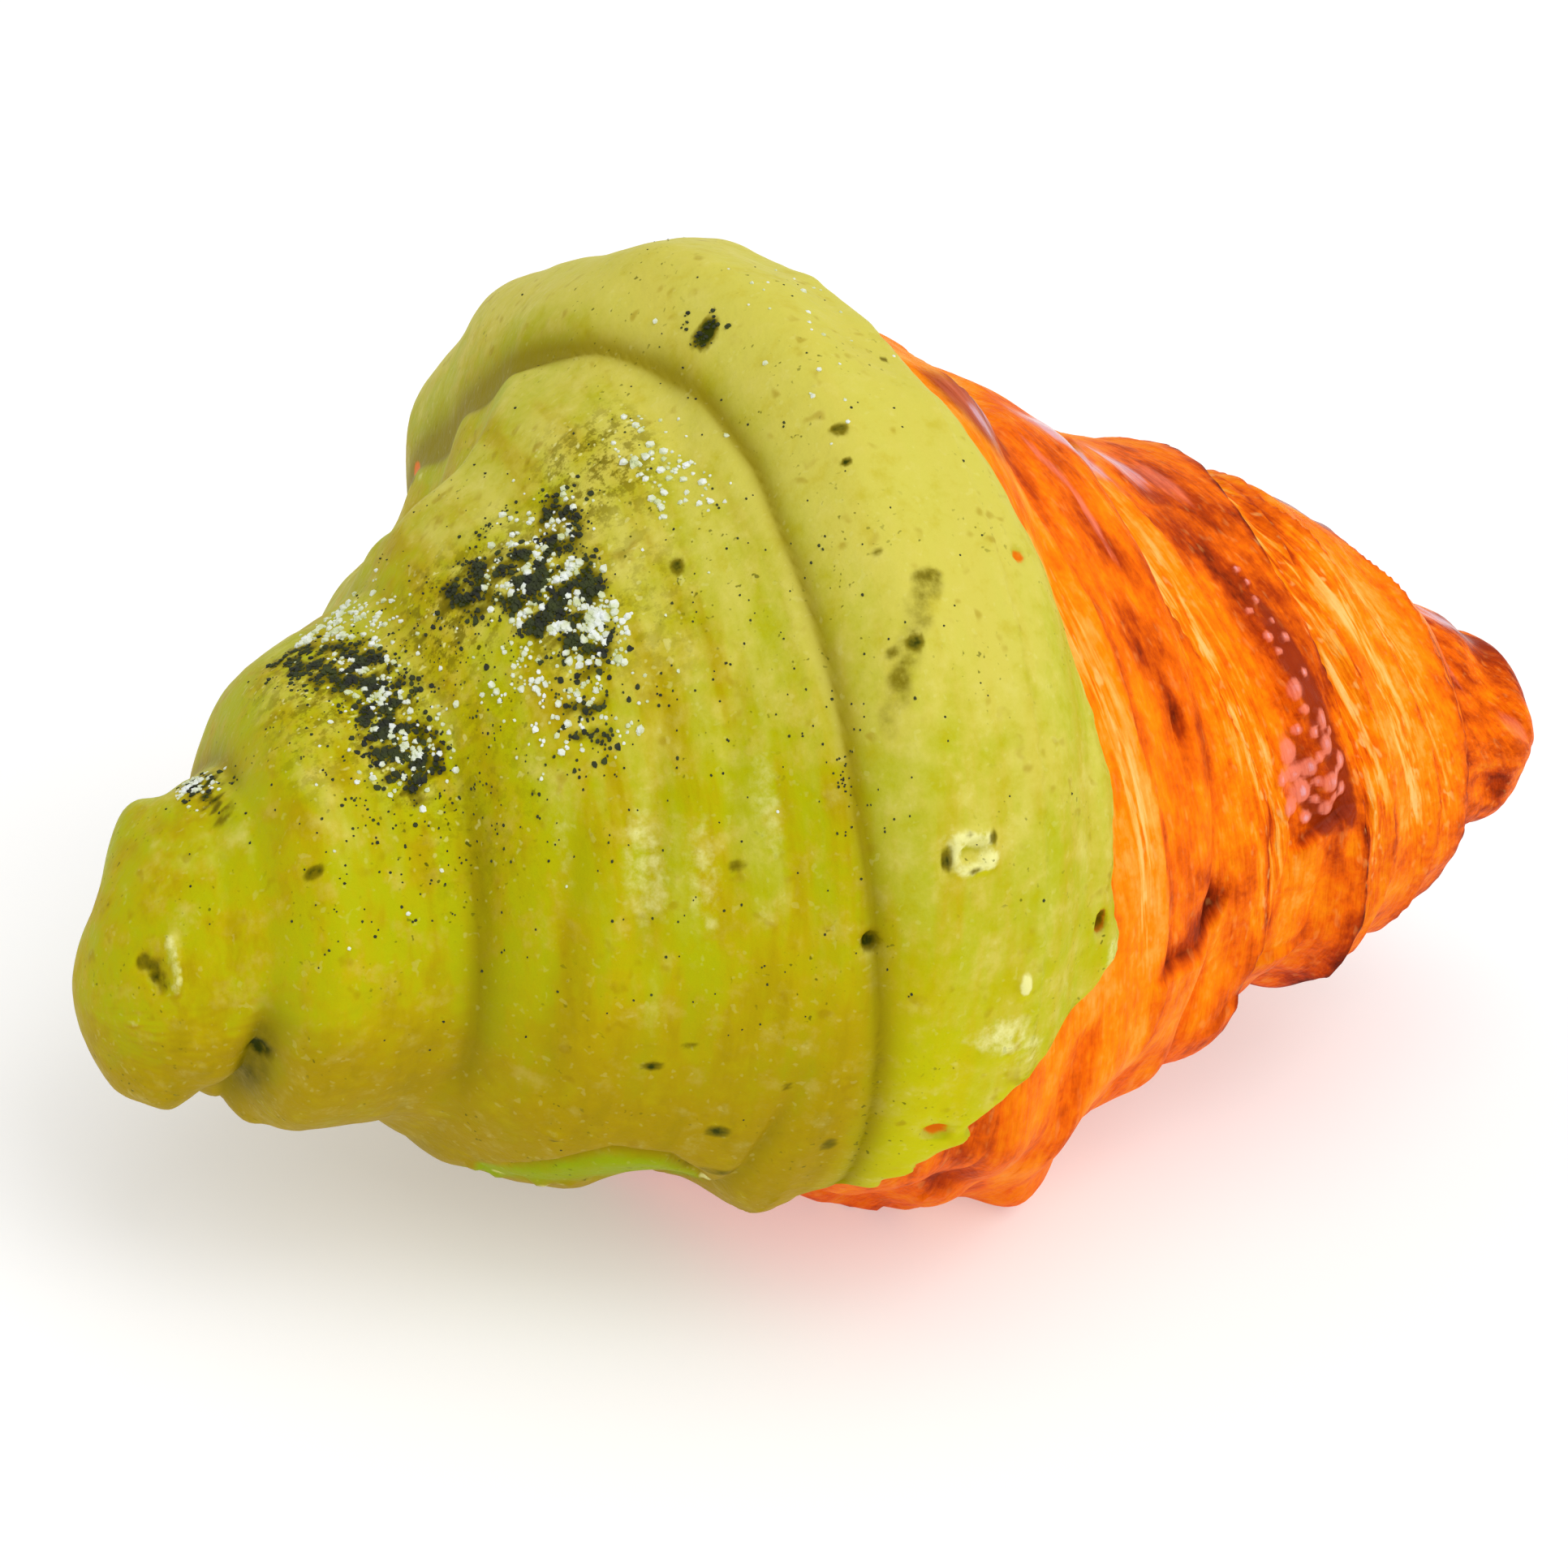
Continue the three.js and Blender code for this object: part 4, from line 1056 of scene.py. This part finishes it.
class Finish:
    """A material under construction: its nodes, and the links to its shader."""

    def __init__(self, name):
        self.material = bpy.data.materials.new(name)
        self.material.use_nodes = True
        self.tree = self.material.node_tree
        self.shader = self.tree.nodes["Principled BSDF"]

    def node(self, kind, settings, sockets, output=0):
        """Adds a node with its settings, then the values or wires of its sockets, and gives one output."""
        made = self.tree.nodes.new(kind)
        for key, value in settings.items():
            if key == "stops":
                self.set_stops(made.color_ramp, value)
            else:
                setattr(made, key, value)
        for key, value in sockets.items():
            self.feed(next(socket for socket in made.inputs if socket.identifier == key), value)
        return Wire(self, made.outputs[output])

    def set_stops(self, ramp, stops):
        while len(ramp.elements) < len(stops):
            ramp.elements.new(1.0)
        for element, (place, colour) in zip(ramp.elements, stops):
            element.position = place
            element.color = (*colour, 1.0)

    def feed(self, socket, value):
        if isinstance(value, Wire):
            self.tree.links.new(value.socket, socket)
        elif socket.type == "RGBA":
            socket.default_value = (*value, 1.0)
        else:
            socket.default_value = value

    def shade(self, **sockets):
        """Sets or links sockets of the shader, named with _ for a space."""
        for key, value in sockets.items():
            self.feed(self.shader.inputs[key.replace("_", " ")], value)

    def place(self):
        return self.node("ShaderNodeTexCoord", {}, {}, "Object")

    def number(self, name):
        return self.node("ShaderNodeAttribute", {"attribute_name": name}, {}, "Fac")

    def vector(self, name):
        return self.node("ShaderNodeAttribute", {"attribute_name": name}, {}, "Vector")

    def stretched(self, vector, sizes):
        """A vector in units of a pattern's size along each axis."""
        scale = tuple(1 / size for size in sizes)
        settings = {"operation": "MULTIPLY"}
        return self.node("ShaderNodeVectorMath", settings, {"Vector": vector, "Vector_001": scale})

    def speckle(self, vector, sizes, detail=2.0, roughness=0.5):
        """Noise from 0 to 1 with lumps of the given sizes."""
        place = self.stretched(vector, sizes)
        sockets = {"Vector": place, "Scale": 1.0, "Detail": detail, "Roughness": roughness}
        return self.node("ShaderNodeTexNoise", {}, sockets, "Fac")

    def mixed(self, share, first, second):
        sockets = {"Factor_Float": share, "A_Color": first, "B_Color": second}
        return self.node("ShaderNodeMix", {"data_type": "RGBA"}, sockets, 2)

    def layered(self, colour, *layers):
        """A colour with others laid over it in turn, each by its share."""
        for share, tint in layers:
            colour = self.mixed(share, colour, tint)
        return colour

    def bumped(self, height, distance, strength):
        sockets = {"Height": height, "Distance": distance, "Strength": strength}
        return self.node("ShaderNodeBump", {}, sockets, "Normal")


def crust_material(settings):
    """Baked layers: pale and orange streaks along the sheets, browner where they catch the heat, with
    painted shade in creases, below steps and in recesses, and painted highlights where the egg wash shines.
    """
    finish = Finish("baked_crust")
    layers = finish.vector("layers")
    streaks = finish.speckle(layers, (0.9, 9.0, 9.0), detail=3.0, roughness=0.6)
    threads = finish.speckle(layers, (0.4, 4.0, 4.0))
    blotches = finish.speckle(layers, (2.6, 5.0, 5.0), detail=5.0, roughness=0.65)
    grain = finish.speckle(finish.place(), even(0.7))
    glints = finish.speckle(layers, (0.7, 1.7, 1.7), detail=1.0).between(0.6, 0.76)
    strip = finish.number("strip")
    glaze = finish.number("glaze")
    shine = finish.number("shine")
    stretched = streaks.between(0.46, 0.64) * (strip * 0.92 + 0.08)
    tone = finish.number("bake") + (blotches - 0.5) * (0.92 - strip * 0.45) - stretched * 0.46
    tone = tone + (threads - 0.5) * (strip * 0.6 + 0.12) + (grain - 0.5) * 0.16
    stops = (
        (0.0, settings.pale), (0.2, settings.peach), (0.42, settings.orange), (0.62, settings.deep),
        (0.8, settings.brown), (1.0, settings.burnt),
    )
    baked = finish.node("ShaderNodeValToRGB", {"stops": stops}, {"Fac": tone}, "Color")
    egg_wash = glaze + (blotches - 0.5) * 0.8
    blush = finish.number("blush") + (streaks - 0.5) * 0.7
    # Painted highlight: the sky's reflection on the egg wash, laid in as colour.
    painted_highlight = shine + (blotches - 0.5) * 0.9 + (streaks - 0.5) * 1.1
    colour = finish.layered(
        baked,
        (glints * (strip * 0.6 + 0.14), settings.pale),
        (egg_wash.between(0.25, 0.9) * 0.9, settings.glaze),
        (blush.between(0.3, 0.9) * 0.8, settings.blush),
        (painted_highlight.between(0.55, 1.15) * 0.6, settings.sheen),
    )
    height = threads * 0.5 + streaks * 0.4 + blotches * 0.5 + grain * 0.3
    finish.shade(
        Base_Color=colour,
        Roughness=0.5 - shine * 0.25 + (streaks - 0.5) * 0.2,
        Coat_Weight=shine * 0.4 + glaze * 0.1,
        Coat_Roughness=0.15,
        Specular_IOR_Level=0.03,
        Normal=finish.bumped(height, 0.7 * MM, 0.6),
    )
    return finish.material


def icing_material(settings):
    """Set icing: yellow green, darker and yellower with painted shade low down and in the creases, pale on
    top where it dried dull and with painted light on faces that look up, and fine dark specks.
    """
    finish = Finish("green_icing")
    place = finish.place()
    clouds = finish.speckle(place, even(8.0), detail=4.0, roughness=0.6)
    mottle = finish.speckle(place, even(2.8), detail=4.0, roughness=0.65)
    runs = finish.speckle(finish.vector("flow"), (2.4, 11.0, 11.0), detail=3.0, roughness=0.6)
    grain = finish.speckle(place, even(1.1), detail=3.0, roughness=0.6)
    freckles = finish.speckle(place, even(1.7), detail=1.0)
    dots = finish.speckle(place, even(0.55), detail=1.0)
    dusted = finish.speckle(place, even(9.0))
    rubbed = finish.speckle(place, (1.3 * MM, 1.2 * MM, 1.2 * MM), detail=4.0, roughness=0.7)
    flecks = finish.speckle(place, even(0.8), detail=1.0)
    tongue = finish.number("tongue")
    pale = finish.number("pale")
    dusty = finish.number("dusty")
    facing_down = (0.25 - finish.number("upward")).between(0.0, 0.7)
    # Painted shade on the faces that look down, off the middle wrap: darker and yellower.
    low = facing_down * (1.0 - tongue)
    drift = (clouds - 0.5) * 0.9 + (mottle - 0.5) * 0.9
    yellowness = (runs - 0.5) * -1.2 + drift + low * 0.3 + 0.45
    dark_runs = (1.0 - runs).between(0.5, 0.7)
    film = finish.number("film") + drift + (runs - 0.5) * (1.3 - tongue * 0.9)
    freckled = freckles.between(0.6, 0.75) * clouds.between(0.45, 0.6)
    chipped = pale + (grain - 0.5) * (pale * 2.2 + 0.2)
    specks = dots.between(0.68, 0.76) * (dusted.between(0.45, 0.65) + dusty)
    bare = finish.number("bare") * (grain * 0.9 + 0.55)
    stain = finish.number("stain") * (grain * 1.8 + 0.1)
    colour = finish.layered(
        settings.green,
        (yellowness.between(0.2, 0.8), settings.yellow),
        # Painted shade on faces that look down.
        (low * 0.72, settings.ochre_shade_and_freckles),
        (dark_runs * (0.28 - tongue * 0.24), settings.crease_shade_and_runs),
        # Painted light on the middle wrap's faces that look down, in a brighter green.
        (facing_down * tongue * 0.8, settings.fresh_and_lit),
        # Pale film, with painted light on faces that look up and painted shade towards the dipped tip.
        (film.between(0.1, 0.9) * 0.85, settings.pale_film_and_sheen),
        (mottle.between(0.52, 0.75) * 0.12, settings.chip),
        ((1.0 - mottle).between(0.5, 0.75) * 0.35, settings.yellow),
        (freckled * 0.5, settings.ochre_shade_and_freckles),
        (finish.number("skirt") * (mottle + 0.35), settings.skirt),
        (chipped.between(0.2, 0.9), settings.chip),
        # Painted shade in the creases and lines.
        (finish.number("hollow").between(0.05, 0.7) * 0.9, settings.crease_shade_and_runs),
        (dusty * rubbed.between(0.46, 0.6) * 0.85, settings.smudge_and_shade),
        (flecks.between(0.66, 0.74) * (dusty * 0.7 + 0.12), settings.chip),
        (specks * 0.75, settings.speck),
        (bare.between(0.35, 0.6), settings.crust_shown),
        # Dark powder pressed in, and painted shade in the slits, notch and fold that some of its rows
        # cover.
        (stain.between(0.05, 0.5) * 0.9, settings.smudge_and_shade),
        (stain.between(0.4, 0.95), settings.stain),
    )
    finish.shade(
        Base_Color=colour,
        Roughness=0.46 + (grain - 0.5) * 0.3,
        Specular_IOR_Level=0.03,
        Normal=finish.bumped(grain * 0.4 + mottle * 0.8 + clouds, 0.5 * MM, 0.4),
    )
    return finish.material


def grain_material(name, first, second, roughness):
    """Loose grains, each a slightly different shade."""
    finish = Finish(name)
    shade = finish.speckle(finish.place(), even(1.2))
    finish.shade(
        Base_Color=finish.mixed(shade.between(0.3, 0.7), first, second),
        Roughness=roughness + (shade - 0.5) * 0.3,
    )
    return finish.material


def colour_property(name, description, colour):
    return FloatVectorProperty(
        name=name, description=description, subtype="COLOR", min=0.0, max=1.0, default=srgb(*colour),
    )


def length_property(name, description, length):
    return FloatProperty(
        name=name, description=description, subtype="DISTANCE", unit="LENGTH", precision=5, default=length,
    )


def number_property(name, description, number, subtype="NONE"):
    return FloatProperty(name=name, description=description, subtype=subtype, default=number)


def angle_property(name, description, degrees):
    return number_property(name, description, math.radians(degrees), "ANGLE")


class CrustSettings(bpy.types.PropertyGroup):
    """Sizes and colours of the baked crust"""

    flake_pitch: length_property("Flake Pitch", "Distance between the edges of thin dough sheets", 4.6 * MM)
    flake_depth: length_property("Flake Depth", "Height of the thickest thin sheet's edge", 0.4 * MM)
    pale: colour_property("Pale", "Stretched dough between the sheets", (255, 198, 112))
    peach: colour_property("Peach", "Lightly baked streaks", (255, 178, 76))
    orange: colour_property("Orange", "Most of the crust", (255, 142, 3))
    deep: colour_property("Deep Orange", "Well baked sheets", (242, 104, 2))
    brown: colour_property("Brown", "Browned places", (188, 64, 3))
    burnt: colour_property("Burnt", "Pockets and the darkest edges", (112, 30, 4))
    glaze: colour_property("Glaze", "Thick egg wash", (152, 46, 4))
    blush: colour_property("Blush", "Thin skin of the bubbles", (250, 134, 104))
    # Painted highlight: the colour of the egg wash's reflection.
    sheen: colour_property("Sheen", "Egg wash that shines on top", (232, 196, 216))


class IcingSettings(bpy.types.PropertyGroup):
    """Sizes and colours of the icing"""

    thickness: length_property("Thickness", "Thickness of the coat", 1.9 * MM)
    clearance: length_property("Clearance", "Lowest edge of the coat above the table", ICING_LOW.z * MM)
    green: colour_property("Green", "Most of the icing", (179, 182, 5))
    yellow: colour_property("Yellow", "Streaks where the icing ran thin", (194, 170, 1))
    # Painted shade on faces that look down, and the freckles.
    ochre_shade_and_freckles: colour_property("Ochre", "Faces that look down", (160, 130, 1))
    # Thick icing, and painted light on the middle wrap's faces that look down.
    fresh_and_lit: colour_property("Fresh", "Thick icing low on the middle wrap", (208, 204, 4))
    pale_film_and_sheen: colour_property("Bloom", "Dry pale film on faces that look up", (214, 204, 90))
    # Pale dry film, and painted light on faces that look up.
    chip: colour_property("Chip", "Chipped and rough places", (236, 232, 150))
    crease_shade_and_runs: colour_property("Fold", "Deep folds", (142, 125, 1))
    # Painted shade in the creases, and the icing's dark runs.
    skirt: colour_property("Skirt", "Fresh green where the icing ran down to the tray", (152, 172, 8))
    speck: colour_property("Speck", "Fine dark specks", (88, 88, 12))
    # These two also paint shade into the slits and notch at the dipped tip and the fold at the skirt's end.
    smudge_and_shade: colour_property("Smudge", "Ground rubbed with dark powder", (118, 104, 1))
    stain: colour_property("Stain", "Dark powder that was pressed in", (52, 58, 4))
    crust_shown: colour_property("Crust Shown", "Crust in the gaps of the icing", (232, 120, 10))


class PowderSettings(bpy.types.PropertyGroup):
    """Sizes and colours of the powder and the sugar"""

    dark_least: length_property("Smallest Dark Grain", "Radius of the finest dark grains", 0.1 * MM)
    sugar_least: length_property("Smallest Sugar Grain", "Radius of the finest sugar grains", 0.15 * MM)
    dark: colour_property("Dark", "Dark powder", (18, 22, 4))
    dark_green: colour_property("Dark Green", "Lighter grains of the powder", (54, 62, 8))
    white: colour_property("White", "Sugar", (236, 241, 238))
    greenish: colour_property("Greenish", "Sugar that took up some colour", (204, 212, 156))


class StageSettings(bpy.types.PropertyGroup):
    """The floor, the light and the camera"""

    floor: colour_property("Floor", "Colour of the floor", (216, 216, 216))
    glow: number_property("Floor Glow", "Even light of the floor, as of a light table", 0.36)
    key: number_property("Key Light", "Strength of the soft light from above", 0.6)
    front: number_property("Front Light", "Strength of the soft light from the front", 1.0)
    sky: number_property("Sky", "Strength of the even light from all round", 0.64)
    lens: number_property("Lens", "Focal length in millimetres", 107.1)
    distance: length_property("Distance", "From the camera to its target", 0.42)
    azimuth: angle_property("Azimuth", "Round to the left", 26.5)
    elevation: angle_property("Elevation", "Above the floor", 28)
    roll: angle_property("Roll", "Turn about the line of sight", 5)


CAMERA_TARGET = Vector((-4.86, -2.22, 32.55)) * MM
FLOOR_RADIUS = 2.5
KEY_DIRECTION = Vector((-0.15, 0.1, -1.0))
FRONT_DIRECTION = Vector((-0.32, 0.6, -0.75))
LIGHT_SPREAD = math.radians(50)


class CROISSANT_OT_crust(bpy.types.Operator):
    """Model the roll of layered dough"""

    bl_idname = "croissant.crust"
    bl_label = "Crust"

    def execute(self, context):
        build_crust(context.scene.croissant_crust)
        return {"FINISHED"}


class CROISSANT_OT_icing(bpy.types.Operator):
    """Model the coat of green icing over the dipped half"""

    bl_idname = "croissant.icing"
    bl_label = "Icing"

    def execute(self, context):
        build_icing(context.scene.croissant_icing)
        return {"FINISHED"}


class CROISSANT_OT_powder(bpy.types.Operator):
    """Scatter dark powder and white sugar over the icing"""

    bl_idname = "croissant.powder"
    bl_label = "Powder and Sugar"

    def execute(self, context):
        settings = context.scene.croissant_powder
        thickness = context.scene.croissant_icing.thickness / MM
        dark = grain_material("dark_powder", settings.dark, settings.dark_green, DARK_ROUGHNESS)
        white = grain_material("white_sugar", settings.white, settings.greenish, SUGAR_ROUGHNESS)
        dark_least = settings.dark_least / MM
        sugar_least = settings.sugar_least / MM
        build_grains("dark_powder", DARK_PATCHES, 1, dark_least, DARK_FLATNESS, thickness, dark)
        build_grains("white_sugar", SUGAR_PATCHES, -1, sugar_least, SUGAR_FLATNESS, thickness, white)
        return {"FINISHED"}


class CROISSANT_OT_stage(bpy.types.Operator):
    """Add the floor, the light and the camera"""

    bl_idname = "croissant.stage"
    bl_label = "Stage"

    def execute(self, context):
        settings = context.scene.croissant_stage
        add_floor(settings)
        add_lights(settings)
        add_camera(settings)
        return {"FINISHED"}


def add_floor(settings):
    form = bmesh.new()
    bmesh.ops.create_circle(form, cap_ends=True, segments=64, radius=FLOOR_RADIUS)
    mesh = bpy.data.meshes.new("floor")
    form.to_mesh(mesh)
    form.free()
    finish = Finish("floor")
    finish.shade(
        Base_Color=tuple(settings.floor),
        Roughness=0.9,
        Specular_IOR_Level=0.0,
        Emission_Color=(1.0, 1.0, 1.0),
        Emission_Strength=settings.glow,
    )
    mesh.materials.append(finish.material)
    floor = bpy.data.objects.new("floor", mesh)
    bpy.context.scene.collection.objects.link(floor)


def add_lights(settings):
    scene = bpy.context.scene
    scene.view_settings.view_transform = "Standard"
    world = bpy.data.worlds.new("studio")
    world.use_nodes = True
    world.node_tree.nodes["Background"].inputs["Color"].default_value = (1.0, 1.0, 1.0, 1.0)
    world.node_tree.nodes["Background"].inputs["Strength"].default_value = settings.sky
    scene.world = world
    for name, energy, direction in (
        ("key", settings.key, KEY_DIRECTION),
        ("front", settings.front, FRONT_DIRECTION),
    ):
        light = bpy.data.lights.new(name, "SUN")
        light.energy = energy
        light.angle = LIGHT_SPREAD
        lamp = bpy.data.objects.new(name, light)
        lamp.rotation_mode = "QUATERNION"
        lamp.rotation_quaternion = direction.to_track_quat("-Z", "Y")
        scene.collection.objects.link(lamp)


def add_camera(settings):
    scene = bpy.context.scene
    lens = bpy.data.cameras.new("camera")
    lens.lens = settings.lens
    level = math.cos(settings.elevation)
    back = Vector((
        -math.sin(settings.azimuth) * level,
        -math.cos(settings.azimuth) * level,
        math.sin(settings.elevation),
    ))
    camera = bpy.data.objects.new("camera", lens)
    camera.location = CAMERA_TARGET + back * settings.distance
    camera.rotation_mode = "QUATERNION"
    camera.rotation_quaternion = (-back).to_track_quat("-Z", "Y") @ Quaternion((0, 0, 1), settings.roll)
    scene.collection.objects.link(camera)
    scene.camera = camera


class CROISSANT_PT_panel(bpy.types.Panel):
    """The croissant's pieces and their settings"""

    bl_label = "Iced Croissant"
    bl_idname = "CROISSANT_PT_panel"
    bl_space_type = "VIEW_3D"
    bl_region_type = "UI"
    bl_category = "Croissant"

    def draw(self, context):
        for operator, group, _ in PIECES:
            box = self.layout.box()
            box.operator(operator.bl_idname)
            settings = getattr(context.scene, group)
            for name in settings.__annotations__:
                box.prop(settings, name)


PIECES = (
    (CROISSANT_OT_crust, "croissant_crust", CrustSettings),
    (CROISSANT_OT_icing, "croissant_icing", IcingSettings),
    (CROISSANT_OT_powder, "croissant_powder", PowderSettings),
    (CROISSANT_OT_stage, "croissant_stage", StageSettings),
)
CLASSES = (
    *(settings for _, _, settings in PIECES),
    *(operator for operator, _, _ in PIECES),
    CROISSANT_PT_panel,
)


def register():
    for cls in CLASSES:
        bpy.utils.register_class(cls)
    for _, group, settings in PIECES:
        setattr(bpy.types.Scene, group, PointerProperty(type=settings))


def unregister():
    for _, group, _ in PIECES:
        delattr(bpy.types.Scene, group)
    for cls in reversed(CLASSES):
        bpy.utils.unregister_class(cls)


def main():
    register()
    bpy.ops.croissant.stage()
    bpy.ops.croissant.crust()
    bpy.ops.croissant.icing()
    bpy.ops.croissant.powder()


if __name__ == "__main__":
    main()
